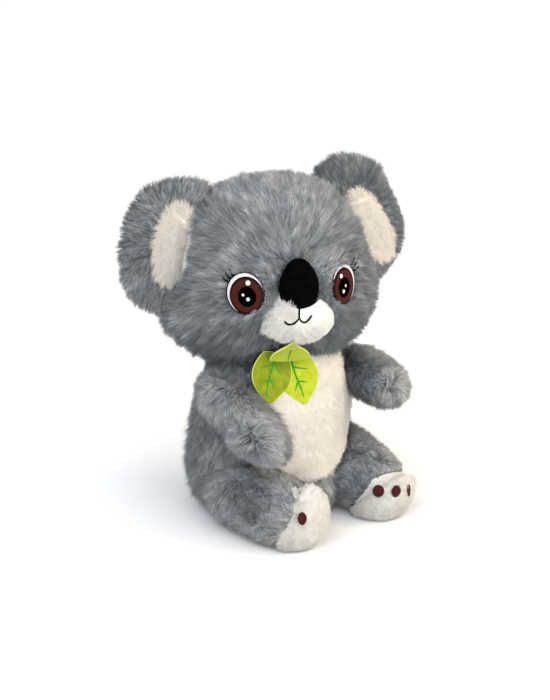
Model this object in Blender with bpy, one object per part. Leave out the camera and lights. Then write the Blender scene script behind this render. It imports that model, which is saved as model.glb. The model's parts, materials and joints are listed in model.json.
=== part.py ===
"""A seated plush koala, made as it is sewn: fur fabric covers open at their seams, the stuffing
inside them, and the panels, pads, embroidery and felt leaves laid on them.

Metres, +Z up. The koala faces -Y and sits on z = 0, with the origin under the middle of its seat.
Its right side is -X. Every round form is a ball that a shape function swells and tapers, so a
cover, its stuffing and the panels on it are all grown from one form by the fabric they are made of.
"""

from math import copysign, cos, exp, hypot, pi, radians, sin, sqrt

import bmesh
import bpy
from mathutils import Matrix, Vector
from mathutils.bvhtree import BVHTree

# Cloth and clearances
GAP = 0.0003
FUR_FABRIC = 0.0025
PLUSH = 0.0016
VELOUR_PAD = 0.0010
THREAD = 0.0008
FELT = 0.0014
FLOOR_CUT = 0.0005
OVERRUN = 0.060
FILL_EASE = 0.0006

# Head
HEAD_WIDTH = 0.134
HEAD_DEPTH = 0.118
HEAD_RISE = 0.0635
HEAD_DROP = 0.066
HEAD_MIDDLE_ABOVE_NECK = 0.052
HEAD_FORWARD = 0.004
HEAD_TURN = radians(-19.5)
CHEEK_SHARE = 0.16
CHEEK_LEVEL_SHARE = -0.42
CHEEK_SPREAD_SHARE = 0.42
HEAD_ROUND_SHARE = 0.88

# Ears
EAR_REACH = 0.045
EAR_HEIGHT = 0.092
EAR_THICKNESS = 0.021
EAR_CUP = 0.005
EAR_ROOT_RADIUS = 0.0150
EAR_MIDDLE_SHARE = 0.20
EAR_CUP_SHARE = 0.35
EAR_OUTLINE_SHARE = 0.85
EAR_SECTION_SHARE = 0.70
EAR_ABOVE_HEAD_MIDDLE = {"right": 0.002, "left": -0.006}
EAR_BACK_TURN = radians(6)
EAR_TILT = {"right": radians(11), "left": radians(29)}
EAR_SEAT_DEPTH = {"right": 0.007, "left": 0.011}
LINING_WIDTH = 0.026
LINING_HEIGHT = 0.056
LINING_FROM_ROOT = 0.0160
LINING_BELOW_EAR_MIDDLE = {"right": -0.002, "left": 0.008}

# Face
EYE_AZIMUTH = radians(33.5)
EYE_BELOW_HEAD_MIDDLE = 0.004
EYE_RADIUS = 0.0142
EYE_OUTLINE = 0.0009
IRIS_RADIUS = 0.0113
IRIS_SHIFT = 0.0011
PUPIL_RADIUS = 0.0060
MUZZLE_WIDTH = 0.049
MUZZLE_HEIGHT = 0.034
MUZZLE_BULGE = 0.010
MUZZLE_TOP_SHARE = 0.12
MUZZLE_BELOW_HEAD_MIDDLE = 0.0215
NOSE_WIDTH = 0.031
NOSE_HEIGHT = 0.034
NOSE_BULGE = 0.011
NOSE_BELOW_HEAD_MIDDLE = -0.001
NOSE_TIP_SHARE = 0.30
MOUTH_WIDTH = 0.018
MOUTH_DIP = 0.0037
MOUTH_BELOW_HEAD_MIDDLE = 0.0180
MOUTH_ASIDE = -0.0025
LIP_LENGTH = 0.0030
MOUTH_THREAD = 0.0012
THREAD_LIFT_SHARE = 0.75
MOUTH_CURL_SHARE = 0.80

# Body
BODY_WIDTH = 0.112
BODY_DEPTH = 0.104
BODY_MIDDLE = 0.048
BODY_RISE = 0.096
NECK_HEIGHT = 0.124
BODY_UPPER_SHARE = 0.62
BODY_LOWER_SHARE = 0.60
BELLY_WIDTH = 0.090
BELLY_BOTTOM = 0.036
BELLY_TOP_OVER_NECK = 0.030

# Arms
ARM_LENGTH = 0.082
ARM_WIDTH = 0.040
ARM_HEIGHT = 0.035
ARM_ROUND_SHARE = 0.82
ARM_ROOT_SHARE = 0.90
SHOULDER_HEIGHT = 0.0955
SHOULDER_HALF_SPAN = 0.046
SHOULDER_FORWARD = 0.018
SHOULDER_TURN = radians(30)
SHOULDER_LEAN = radians(16)
SHOULDER_SEAT_DEPTH = 0.004
ARM_OUT = {"right": 0.0150, "left": 0.013}
ARM_BEFORE_SHOULDER = 0.022
ARM_DROP = {"right": radians(34), "left": radians(5)}
ARM_SPREAD = {"right": radians(-16.5), "left": radians(-9)}

# Legs
LEG_LENGTH = 0.094
LEG_WIDTH = 0.054
LEG_HEIGHT = 0.050
LEG_ROUND_SHARE = 0.74
LEG_SECTION_SHARE = 0.92
LEG_ROOT_SHARE = 0.88
HIP_HALF_SPAN = 0.037
HIP_FORWARD = 0.020
HIP_HEIGHT = 0.027
HIP_TURN = radians(35)
HIP_LEAN = radians(-14)
HIP_SEAT_DEPTH = 0.009
HIP_PIVOT_BACK = 0.012
HIP_PIVOT_BELOW = 0.014
LEG_BEFORE_HIP = {"right": 0.022, "left": 0.012}
LEG_OUT = {"right": 0.003, "left": 0.008}
LEG_DROP = {"right": radians(6), "left": radians(22)}
LEG_SPREAD = {"right": radians(-8), "left": radians(6)}
SOLE_WIDTH = 0.046
SOLE_HEIGHT = 0.045
SOLE_BELOW_AXIS = {"right": 0.001, "left": 0.004}
SOLE_DEPTH = 0.024
PAD_WIDTH = 0.0088
PAD_SPACING = 0.0125
PAD_ABOVE_AXIS = {"right": 0.008, "left": 0.0110}
PAD_SHIFT = {"right": 0.0025, "left": -0.0040}
PAD_STEPS = {"right": (-1,), "left": (-1, 0, 1)}

# Leaves
LEAF_LENGTH = 0.036
LEAF_WIDTH = 0.028
TOP_LEAF_LENGTH = 0.0125
TOP_LEAF_WIDTH = 0.028
LEAF_FAN = radians(10)
LEAF_TURN = radians(-20)
LEAF_ASIDE = -0.0015
LEAF_LEAN = radians(12)
LEAF_TOP_UNDER_NECK = 0.002
LEAF_SPREAD = 0.0060
TOP_LEAF_LEAN = radians(-33)
TOP_LEAF_OVER_NECK = 0.0008
LEAF_TOP_SHARE = 0.10
LEAF_ROUND_SHARE = 0.75

SIDES = {"right": -1, "left": 1}
ROUND_STEPS = {"head": (26, 15), "body": (24, 14), "arm": (16, 11), "leg": (18, 11), "ear": (18, 12)}

MATERIALS = {
    "grey_fur": ((0.23, 0.26, 0.29), 0.95),
    "cream_plush": ((0.80, 0.75, 0.68), 0.95),
    "white_plush": ((0.86, 0.85, 0.82), 0.95),
    "black_velour": ((0.006, 0.006, 0.007), 0.85),
    "maroon_velour": ((0.070, 0.018, 0.018), 0.85),
    "black_thread": ((0.010, 0.008, 0.008), 0.60),
    "white_thread": ((0.88, 0.86, 0.88), 0.55),
    "brown_thread": ((0.110, 0.028, 0.016), 0.55),
    "lime_felt": ((0.52, 0.62, 0.035), 0.95),
    "polyester_fill": ((0.90, 0.90, 0.90), 1.00),
}


def clear_scene():
    """Removes whatever objects the file holds."""
    for old in list(bpy.data.objects):
        bpy.data.objects.remove(old, do_unlink=True)


def material(name):
    """The Principled material of one cloth or thread."""
    found = bpy.data.materials.get(name)
    if found:
        return found
    colour, rough = MATERIALS[name]
    found = bpy.data.materials.new(name)
    found.use_nodes = True
    shader = found.node_tree.nodes["Principled BSDF"]
    shader.inputs["Base Color"].default_value = (*colour, 1)
    shader.inputs["Roughness"].default_value = rough
    shader.inputs["Metallic"].default_value = 0
    return found


def add_object(name, bm, cloth=None):
    """Puts a mesh in the scene. Without a cloth it is a cutter, which only shows as wire."""
    mesh = bpy.data.meshes.new(name)
    bm.to_mesh(mesh)
    bm.free()
    piece = bpy.data.objects.new(name, mesh)
    bpy.context.collection.objects.link(piece)
    if cloth is None:
        piece.hide_render = True
        piece.display_type = "WIRE"
    else:
        mesh.materials.append(material(cloth))
        mesh.shade_smooth()
        mesh.set_sharp_from_angle(angle=radians(50))
    return piece


def carve(piece, cutter, operation="DIFFERENCE"):
    """Cuts one object by another with a live Boolean."""
    cut = piece.modifiers.new(cutter.name, "BOOLEAN")
    cut.operation = operation
    cut.object = cutter
    cut.solver = "EXACT"
    return piece


def powered(value, share):
    """A value raised to a share, with its sign kept."""
    return copysign(abs(value) ** share, value)


def rounded(unit, end_share, side_share=1.0):
    """Squares a point of the unit ball: its profile by end_share, its section by side_share."""
    ring = hypot(unit.x, unit.y)
    if ring == 0:
        return Vector((0, 0, copysign(1, unit.z)))
    wide = ring**end_share
    return Vector((
        wide * powered(unit.x / ring, side_share),
        wide * powered(unit.y / ring, side_share),
        powered(unit.z, end_share),
    ))


def make_form(kind, shape, place, grow):
    """A closed round form: the unit ball shaped, grown along its normals and put in place."""
    turns, rings = ROUND_STEPS[kind]
    bm = bmesh.new()
    bmesh.ops.create_uvsphere(bm, u_segments=turns, v_segments=rings, radius=1)
    for vert in bm.verts:
        vert.co = shape(vert.co)
    bmesh.ops.recalc_face_normals(bm, faces=bm.faces)
    bm.normal_update()
    for vert in bm.verts:
        vert.co += vert.normal * grow
    bmesh.ops.transform(bm, matrix=place, verts=bm.verts)
    return bm


def slice_off(bm, point, normal):
    """Takes off what lies beyond a plane and closes the cut."""
    everything = bm.verts[:] + bm.edges[:] + bm.faces[:]
    cut = bmesh.ops.bisect_plane(
        bm, geom=everything, plane_co=point, plane_no=normal, clear_outer=True
    )
    rim = [edge for edge in cut["geom_cut"] if isinstance(edge, bmesh.types.BMEdge)]
    if rim:
        bmesh.ops.contextual_create(bm, geom=rim)
        bmesh.ops.recalc_face_normals(bm, faces=bm.faces)


def lift_to_floor(bm):
    """How far a form moves so that the floor cuts it FLOOR_CUT deep."""
    return -FLOOR_CUT - min(vert.co.z for vert in bm.verts)


def aim(point, direction, up=Vector((0, 0, 1))):
    """A frame at a point: its Z along direction, its Y as far up as it can be."""
    z = direction.normalized()
    x = up.cross(z).normalized()
    y = z.cross(x)
    frame = Matrix((x, y, z)).transposed().to_4x4()
    return Matrix.Translation(point) @ frame


def disc_prism(outer, depth, place, inner=0.0, shift=(0, 0), squash=1.0, steps=24):
    """A round or ring-shaped prism along its frame's Z. shift moves the ring's inner circle."""
    bm = bmesh.new()
    rim = bmesh.ops.create_circle(bm, segments=steps, radius=outer)["verts"]
    if inner:
        hole = bmesh.ops.create_circle(bm, segments=steps, radius=inner)["verts"]
        bmesh.ops.translate(bm, vec=(shift[0], shift[1], 0), verts=hole)
        bmesh.ops.bridge_loops(bm, edges=bm.edges[:])
    else:
        bmesh.ops.contextual_create(bm, geom=rim)
    made = bmesh.ops.extrude_face_region(bm, geom=bm.faces[:])
    top = [item for item in made["geom"] if isinstance(item, bmesh.types.BMVert)]
    bmesh.ops.translate(bm, vec=(0, 0, depth), verts=top)
    bmesh.ops.translate(bm, vec=(0, 0, -depth / 2), verts=bm.verts)
    bmesh.ops.scale(bm, vec=(squash, 1, 1), verts=bm.verts)
    bmesh.ops.recalc_face_normals(bm, faces=bm.faces)
    bmesh.ops.transform(bm, matrix=place, verts=bm.verts)
    return bm


def ball(half_x, half_y, half_z, place, tip_share=0.0, grow=0.0, steps=(20, 12)):
    """A closed ball of three half sizes, narrowed towards its +Y end by tip_share."""
    bm = bmesh.new()
    bmesh.ops.create_uvsphere(bm, u_segments=steps[0], v_segments=steps[1], radius=1)
    for vert in bm.verts:
        narrow = 1 - tip_share * (vert.co.y + 1) / 2
        vert.co.x *= (half_x + grow) * narrow
        vert.co.z *= half_z + grow
        vert.co.y *= half_y + grow
    bmesh.ops.transform(bm, matrix=place, verts=bm.verts)
    return bm


def lay_panel(name, prism, seat, face, cloth):
    """A panel of cloth on a form: the prism of its outline, kept between seat and face."""
    panel = add_object(name, prism, cloth)
    carve(panel, face, "INTERSECT")
    return carve(panel, seat)


def surface_at(bm, outside, direction):
    """The point where a line from outside meets a form, and the form's normal there."""
    tree = BVHTree.FromBMesh(bm)
    point, normal, _, _ = tree.ray_cast(outside, direction)
    return point, normal


# Frames that the parts share
HEAD_MIDDLE = Vector((0, -HEAD_FORWARD, NECK_HEIGHT + HEAD_MIDDLE_ABOVE_NECK))
HEAD_PLACE = Matrix.Translation(HEAD_MIDDLE) @ Matrix.Rotation(HEAD_TURN, 4, "Z")
UP = Vector((0, 0, 1))


def body_seat(near, sign, turn, lean, depth):
    """A flat that a limb is sewn to: the point on it before near, and the way it faces."""
    out = Vector((sign * cos(turn) * cos(lean), -sin(turn) * cos(lean), sin(lean)))
    bare = make_form("body", body_shape, Matrix.Identity(4), 0)
    reach = max(vert.co.dot(out) for vert in bare.verts)
    bare.free()
    return near + out * (reach - depth - near.dot(out)), out


def shoulder(side):
    """The middle of a shoulder seam, and the way that seam's plane faces."""
    sign = SIDES[side]
    near = Vector((sign * SHOULDER_HALF_SPAN, -SHOULDER_FORWARD, SHOULDER_HEIGHT))
    return body_seat(near, sign, SHOULDER_TURN, SHOULDER_LEAN, SHOULDER_SEAT_DEPTH)


def hip(side):
    """The middle of a hip seam, and the way that seam's plane faces."""
    sign = SIDES[side]
    near = Vector((sign * HIP_HALF_SPAN, -HIP_FORWARD, HIP_HEIGHT))
    return body_seat(near, sign, HIP_TURN, HIP_LEAN, HIP_SEAT_DEPTH)


def ear_seat(side):
    """The middle of the line that an ear is sewn along, and the way it points."""
    sign = SIDES[side]
    turn = EAR_BACK_TURN
    tilt = EAR_TILT[side]
    out = Vector((sign * cos(turn) * cos(tilt), sin(turn) * cos(tilt), sin(tilt)))
    bare = make_form("head", head_shape, Matrix.Identity(4), 0)
    level = Vector((0, 0, EAR_ABOVE_HEAD_MIDDLE[side]))
    reach = max((vert.co - level).dot(out) for vert in bare.verts)
    bare.free()
    point = level + out * (reach - EAR_SEAT_DEPTH[side])
    return HEAD_PLACE @ point, HEAD_PLACE.to_3x3() @ out


def head_shape(unit):
    """The head: a wide ball with full cheeks low at its sides."""
    point = rounded(unit, HEAD_ROUND_SHARE)
    cheek = 1 + CHEEK_SHARE * exp(-(((unit.z - CHEEK_LEVEL_SHARE) / CHEEK_SPREAD_SHARE) ** 2))
    tall = HEAD_RISE if point.z > 0 else HEAD_DROP
    return Vector((
        point.x * cheek * HEAD_WIDTH / 2,
        point.y * HEAD_DEPTH / 2 * (1 + (cheek - 1) / 2),
        point.z * tall,
    ))


def body_shape(unit):
    """The body: a barrel that draws in towards the neck and sits broad on the floor."""
    share = BODY_UPPER_SHARE if unit.z > 0 else BODY_LOWER_SHARE
    point = rounded(unit, share)
    tall = BODY_RISE if unit.z > 0 else BODY_MIDDLE + FLOOR_CUT
    return Vector((
        point.x * BODY_WIDTH / 2, point.y * BODY_DEPTH / 2, point.z * tall + BODY_MIDDLE
    ))


def arm_shape(unit):
    """An arm along Z: a little slimmer at its root, round at the paw."""
    point = rounded(unit, ARM_ROUND_SHARE)
    slim = ARM_ROOT_SHARE + (1 - ARM_ROOT_SHARE) * (unit.z + 1) / 2
    return Vector((
        point.x * slim * ARM_WIDTH / 2, point.y * slim * ARM_HEIGHT / 2, point.z * ARM_LENGTH / 2
    ))


def leg_shape(unit):
    """A leg along Z: full at the foot, with a blunt round sole."""
    point = rounded(unit, LEG_ROUND_SHARE, LEG_SECTION_SHARE)
    slim = LEG_ROOT_SHARE + (1 - LEG_ROOT_SHARE) * (unit.z + 1) / 2
    return Vector((
        point.x * slim * LEG_WIDTH / 2, point.y * slim * LEG_HEIGHT / 2, point.z * LEG_LENGTH / 2
    ))


def ear_form(side, grow):
    """An ear, cupped at the front, with a round root that its hinge line runs through."""
    sign = SIDES[side]
    middle = EAR_REACH * EAR_MIDDLE_SHARE

    def shape(unit):
        point = rounded(unit, EAR_OUTLINE_SHARE, EAR_SECTION_SHARE)
        aside = (point.x - EAR_CUP_SHARE) / (1 - EAR_CUP_SHARE)
        near = max(0, 1 - hypot(aside, point.z) ** 2)
        cup = EAR_CUP * near if point.y < 0 else 0
        return Vector((
            middle + point.x * (EAR_REACH - middle),
            point.y * EAR_THICKNESS / 2 + cup,
            point.z * EAR_HEIGHT / 2,
        ))

    bm = make_form("ear", shape, Matrix.Identity(4), grow)
    radius = EAR_ROOT_RADIUS + grow
    for vert in bm.verts:
        across = min(abs(vert.co.y), radius)
        vert.co.x = sign * max(vert.co.x, EAR_ROOT_RADIUS - sqrt(radius**2 - across**2))
    if sign < 0:
        bmesh.ops.reverse_faces(bm, faces=bm.faces)
    bmesh.ops.transform(bm, matrix=ear_place(side), verts=bm.verts)
    return bm


def ear_place(side):
    """The ear's frame: X out of the head (mirrored on the right), Y back, Z up the seam."""
    sign = SIDES[side]
    point, out = ear_seat(side)
    x = out * sign
    back = HEAD_PLACE.to_3x3() @ Vector((0, 1, 0))
    z = x.cross(back).normalized()
    y = z.cross(x)
    frame = Matrix((x, y, z)).transposed().to_4x4()
    return Matrix.Translation(point + out * GAP) @ frame


def ear_hinge(side):
    """A point on the ear's hinge line and the line's direction."""
    place = ear_place(side)
    return place @ Vector((SIDES[side] * EAR_ROOT_RADIUS, 0, 0)), place.to_3x3() @ UP


def head_form(grow, seat_shift=0.0, open_neck=False):
    """The head, flat at the neck and under the ears. seat_shift moves the flats in or out."""
    bm = make_form("head", head_shape, HEAD_PLACE, grow)
    for side in SIDES:
        point, out = ear_seat(side)
        slice_off(bm, point + out * seat_shift, out)
    if not open_neck:
        slice_off(bm, Vector((0, 0, NECK_HEIGHT + GAP)), -UP)
    return bm


def body_form(grow, seat_shift=0.0, neck_shift=0.0, floor=0.0):
    """The body, flat at the neck, the shoulders, the hips and the seat."""
    bm = make_form("body", body_shape, Matrix.Identity(4), grow)
    for side in SIDES:
        for point, out in (shoulder(side), hip(side)):
            slice_off(bm, point + out * seat_shift, out)
    slice_off(bm, Vector((0, 0, NECK_HEIGHT + neck_shift)), UP)
    slice_off(bm, Vector((0, 0, floor)), -UP)
    return bm


def limb_frame(joint, before, out_by, drop, spread, sign):
    """The frame of an arm or leg: Z runs to its end, its middle lies before its seam."""
    point, out = joint
    level = Vector((sign * sin(spread), -cos(spread), 0)) * cos(drop)
    direction = level - UP * sin(drop)
    return aim(point + direction * before + out * out_by, direction)


def arm_place(side):
    """The frame of one arm."""
    return limb_frame(
        shoulder(side), ARM_BEFORE_SHOULDER, ARM_OUT[side], ARM_DROP[side], ARM_SPREAD[side], SIDES[side]
    )


def leg_place(side):
    """The frame of one leg, let down until the floor cuts it FLOOR_CUT deep."""
    frame = limb_frame(
        hip(side), LEG_BEFORE_HIP[side], LEG_OUT[side], LEG_DROP[side], LEG_SPREAD[side], SIDES[side]
    )
    bare = make_form("leg", leg_shape, frame, 0)
    lift = lift_to_floor(bare)
    bare.free()
    return Matrix.Translation((0, 0, lift)) @ frame


def arm_form(side, grow, root_shift=GAP):
    """One arm, cut flat where it is sewn to the body."""
    bm = make_form("arm", arm_shape, arm_place(side), grow)
    point, out = shoulder(side)
    slice_off(bm, point + out * root_shift, -out)
    return bm


def leg_form(side, grow, root_shift=GAP, floor=0.0):
    """One leg, cut flat where it is sewn to the body and where it rests."""
    bm = make_form("leg", leg_shape, leg_place(side), grow)
    point, out = hip(side)
    slice_off(bm, point + out * root_shift, -out)
    slice_off(bm, Vector((0, 0, floor)), -UP)
    return bm


def sew_and_stuff(name, outer, inner, filling):
    """A cover of fur fabric with its seam open, and the stuffing inside it."""
    cover = add_object(f"{name}_cover", outer, "grey_fur")
    carve(cover, add_object(f"{name}_hollow", inner))
    add_object(f"{name}_stuffing", filling, "polyester_fill")
    return cover


def make_head():
    """The head's cover and stuffing."""
    wall = FUR_FABRIC
    sew_and_stuff(
        "head",
        head_form(0),
        head_form(-wall, -wall, open_neck=True),
        head_form(-wall - FILL_EASE, -wall - FILL_EASE),
    )


def make_body():
    """The body's cover and stuffing, and the belly panel."""
    wall = FUR_FABRIC
    sew_and_stuff(
        "body",
        body_form(0),
        body_form(-wall, -wall, neck_shift=wall, floor=wall),
        body_form(-wall - FILL_EASE, -wall - FILL_EASE, floor=wall + FILL_EASE),
    )
    seat = add_object("belly_seat", body_form(GAP, OVERRUN, neck_shift=OVERRUN))
    face = add_object("belly_face", body_form(GAP + PLUSH))
    tall = NECK_HEIGHT + BELLY_TOP_OVER_NECK - BELLY_BOTTOM
    middle = Vector((0, -OVERRUN, BELLY_BOTTOM + tall / 2))
    outline = disc_prism(
        tall / 2, 2 * OVERRUN, aim(middle, Vector((0, -1, 0))), squash=BELLY_WIDTH / tall, steps=36
    )
    lay_panel("belly_panel", outline, seat, face, "cream_plush")


def make_arms():
    """Each arm's cover and stuffing."""
    wall = FUR_FABRIC
    for side in SIDES:
        sew_and_stuff(
            f"arm_{side}",
            arm_form(side, 0),
            arm_form(side, -wall, root_shift=-wall),
            arm_form(side, -wall - FILL_EASE),
        )


def make_legs():
    """Each leg's cover and stuffing, its sole and its toe pads."""
    wall = FUR_FABRIC
    for side in SIDES:
        sew_and_stuff(
            f"leg_{side}",
            leg_form(side, 0),
            leg_form(side, -wall, root_shift=-wall, floor=wall),
            leg_form(side, -wall - FILL_EASE, floor=wall + FILL_EASE),
        )
        seat = add_object(f"sole_{side}_seat", leg_form(side, GAP, -OVERRUN, floor=-OVERRUN))
        face = add_object(f"sole_{side}_face", leg_form(side, GAP + PLUSH))
        end = leg_place(side) @ Matrix.Translation((0, 0, LEG_LENGTH / 2))
        spot = end @ Matrix.Translation((0, -SOLE_BELOW_AXIS[side], 0))
        squash = SOLE_WIDTH / SOLE_HEIGHT
        outline = disc_prism(SOLE_HEIGHT / 2, 2 * SOLE_DEPTH, spot, squash=squash)
        lay_panel(f"sole_{side}", outline, seat, face, "white_plush")
        over = 2 * GAP + PLUSH
        pad_seat = add_object(f"pads_{side}_seat", leg_form(side, over, -OVERRUN, floor=-OVERRUN))
        pad_face = add_object(f"pads_{side}_face", leg_form(side, over + VELOUR_PAD))
        for number, step in enumerate(PAD_STEPS[side], start=1):
            along = step * PAD_SPACING + PAD_SHIFT[side]
            outside = end @ Vector((along, PAD_ABOVE_AXIS[side], OVERRUN))
            bare = leg_form(side, over)
            point, normal = surface_at(bare, outside, -(end.to_3x3() @ UP))
            bare.free()
            round_pad = disc_prism(PAD_WIDTH / 2, PAD_WIDTH, aim(point, normal), steps=16)
            lay_panel(f"toe_pad_{side}_{number}", round_pad, pad_seat, pad_face, "maroon_velour")


def make_ears():
    """Each ear's cover, which is open at the front, the lining in that opening, and its padding."""
    wall = FUR_FABRIC
    for side, sign in SIDES.items():
        cover = add_object(f"ear_{side}_cover", ear_form(side, 0), "grey_fur")
        hollow = add_object(f"ear_{side}_hollow", ear_form(side, -wall))
        carve(cover, hollow)
        below = LINING_BELOW_EAR_MIDDLE[side]
        middle = Vector((sign * LINING_FROM_ROOT, -OVERRUN / 2, -below))
        spot = ear_place(side) @ Matrix.Translation(middle)
        spot = spot @ Matrix.Rotation(radians(90), 4, "X")
        squash = LINING_WIDTH / LINING_HEIGHT
        window = disc_prism(LINING_HEIGHT / 2, OVERRUN, spot, squash=squash, steps=26)
        carve(cover, add_object(f"ear_{side}_window", window))
        tight = disc_prism(LINING_HEIGHT / 2 - GAP, OVERRUN, spot, squash=squash, steps=26)
        face = add_object(f"ear_{side}_face", ear_form(side, 0))
        lining = add_object(f"ear_{side}_lining", tight, "cream_plush")
        carve(lining, face, "INTERSECT")
        carve(lining, hollow)
        add_object(f"ear_{side}_padding", ear_form(side, -wall - FILL_EASE), "polyester_fill")


def face_spot(azimuth, below):
    """A frame on the bare head, its Z straight out of the face at that azimuth and height."""
    out = Vector((sin(azimuth), -cos(azimuth), 0))
    level = Vector((0, 0, -below))
    bare = make_form("head", head_shape, Matrix.Identity(4), 0)
    point, normal = surface_at(bare, level + out * 2 * HEAD_WIDTH, -out)
    bare.free()
    return HEAD_PLACE @ aim(point, normal)


def make_eyes():
    """Each eye's four fields of embroidery, side by side on the head."""
    seat = add_object("eye_seat", head_form(GAP, OVERRUN, open_neck=True))
    face = add_object("eye_face", head_form(GAP + THREAD))
    depth = 2 * EYE_RADIUS
    inside = EYE_RADIUS - EYE_OUTLINE
    for side, sign in SIDES.items():
        spot = face_spot(sign * EYE_AZIMUTH, EYE_BELOW_HEAD_MIDDLE)
        shift = (-sign * IRIS_SHIFT, -IRIS_SHIFT / 2)
        inner_spot = spot @ Matrix.Translation((*shift, 0))
        fields = {
            "outline": (disc_prism(EYE_RADIUS, depth, spot, inside), "black_thread"),
            "white": (
                disc_prism(inside - GAP, depth, spot, IRIS_RADIUS + GAP, shift), "white_thread"
            ),
            "iris": (
                disc_prism(IRIS_RADIUS, depth, inner_spot, PUPIL_RADIUS + GAP), "brown_thread"
            ),
            "pupil": (disc_prism(PUPIL_RADIUS, depth, inner_spot), "black_thread"),
        }
        for field, (prism, cloth) in fields.items():
            lay_panel(f"eye_{side}_{field}", prism, seat, face, cloth)


def muzzle_ball(grow):
    """The muzzle's whole ball, of which the part in front of the head is used."""
    spot = face_spot(0, MUZZLE_BELOW_HEAD_MIDDLE)
    narrow = MUZZLE_TOP_SHARE
    return ball(MUZZLE_WIDTH / 2, MUZZLE_HEIGHT / 2, MUZZLE_BULGE, spot, narrow, grow, (20, 12))


def nose_ball(grow):
    """The nose's whole egg, its narrow end up."""
    spot = face_spot(0, NOSE_BELOW_HEAD_MIDDLE)
    return ball(NOSE_WIDTH / 2, NOSE_HEIGHT / 2, NOSE_BULGE, spot, NOSE_TIP_SHARE, grow, (18, 12))


def make_muzzle_and_nose():
    """The muzzle on the head, and the nose on both."""
    seat = add_object("muzzle_seat", head_form(GAP, OVERRUN, open_neck=True))
    muzzle = add_object("muzzle", muzzle_ball(0), "white_plush")
    carve(muzzle, seat)
    nose_bed = add_object("nose_bed", nose_ball(GAP))
    carve(muzzle, nose_bed)
    nose = add_object("nose", nose_ball(0), "black_velour")
    carve(nose, seat)


def thread_tube(name, points, cloth):
    """A round thread through points, with closed ends."""
    curve = bpy.data.curves.new(name, "CURVE")
    curve.dimensions = "3D"
    curve.bevel_depth = MOUTH_THREAD / 2
    curve.bevel_resolution = 1
    curve.use_fill_caps = True
    spline = curve.splines.new("POLY")
    spline.points.add(len(points) - 1)
    for place, point in zip(spline.points, points):
        place.co = (*point, 1)
    curve.materials.append(material(cloth))
    piece = bpy.data.objects.new(name, curve)
    bpy.context.collection.objects.link(piece)


def make_mouth():
    """The mouth's curved stitch and the upright one under the nose, laid on the muzzle."""
    muzzle = muzzle_ball(0)
    tree = BVHTree.FromBMesh(muzzle)
    muzzle.free()
    spot = face_spot(0, MUZZLE_BELOW_HEAD_MIDDLE)
    out = spot.to_3x3() @ UP
    lift = GAP + MOUTH_THREAD * THREAD_LIFT_SHARE
    drop = MOUTH_BELOW_HEAD_MIDDLE - MUZZLE_BELOW_HEAD_MIDDLE

    def on_muzzle(across, up):
        start = spot @ Vector((MOUTH_ASIDE + across, up - drop, OVERRUN))
        point, normal, _, _ = tree.ray_cast(start, -out)
        return point + normal * lift

    steps = 12
    smile = []
    for index in range(2 * steps + 1):
        share = (index - steps) / steps
        dip = -MOUTH_DIP * sin(pi * min(1, abs(share) / MOUTH_CURL_SHARE))
        smile.append(on_muzzle(share * MOUTH_WIDTH / 2, dip))
    thread_tube("mouth_stitch", smile, "black_thread")
    clear = MOUTH_THREAD + GAP
    upright = [on_muzzle(0, clear + LIP_LENGTH * index / 4) for index in range(5)]
    thread_tube("lip_stitch", upright, "black_thread")


def leaf_plate(name, length, width, place):
    """A pointed felt leaf hanging along its frame's -Y."""
    bm = bmesh.new()
    steps = 9
    rows = []
    for index in range(steps):
        along = index / steps
        share = LEAF_TOP_SHARE + (1 - LEAF_TOP_SHARE) * along
        half = width / 2 * sin(pi * share) ** LEAF_ROUND_SHARE
        rows.append([bm.verts.new((x, -length * along, 0)) for x in (-half, 0, half)])
    rows.append([bm.verts.new((0, -length, 0))])
    for upper, lower in zip(rows, rows[1:]):
        if len(lower) == 1:
            bm.faces.new((upper[0], upper[1], lower[0]))
            bm.faces.new((upper[1], upper[2], lower[0]))
        else:
            bm.faces.new((upper[0], upper[1], lower[1], lower[0]))
            bm.faces.new((upper[1], upper[2], lower[2], lower[1]))
    made = bmesh.ops.extrude_face_region(bm, geom=bm.faces[:])
    top = [item for item in made["geom"] if isinstance(item, bmesh.types.BMVert)]
    bmesh.ops.translate(bm, vec=(0, 0, FELT), verts=top)
    bmesh.ops.recalc_face_normals(bm, faces=bm.faces)
    bmesh.ops.transform(bm, matrix=place, verts=bm.verts)
    return add_object(name, bm, "lime_felt")


def leaf_plane(lean, level, length, form):
    """A frame at a level before a form and clear of it there: Z out of the leaf, Y up it."""
    out = Vector((sin(LEAF_TURN), -cos(LEAF_TURN), 0)) * cos(lean) + UP * sin(lean)
    low, high = sorted((level, level + length))
    bmesh.ops.subdivide_edges(form, edges=form.edges[:], cuts=1)
    reach = max(vert.co.dot(out) for vert in form.verts if low <= vert.co.z <= high)
    form.free()
    frame = aim(out * (reach + GAP), out)
    up = frame.to_3x3() @ Vector((0, 1, 0))
    return Matrix.Translation(up * (level - frame.translation.z) / up.z) @ frame


def leaves_place():
    """The frame that the two leaves hang in. Its X is the line that they lift about."""
    level = NECK_HEIGHT - LEAF_TOP_UNDER_NECK
    return leaf_plane(LEAF_LEAN, level, -LEAF_LENGTH, body_form(GAP + PLUSH))


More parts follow.
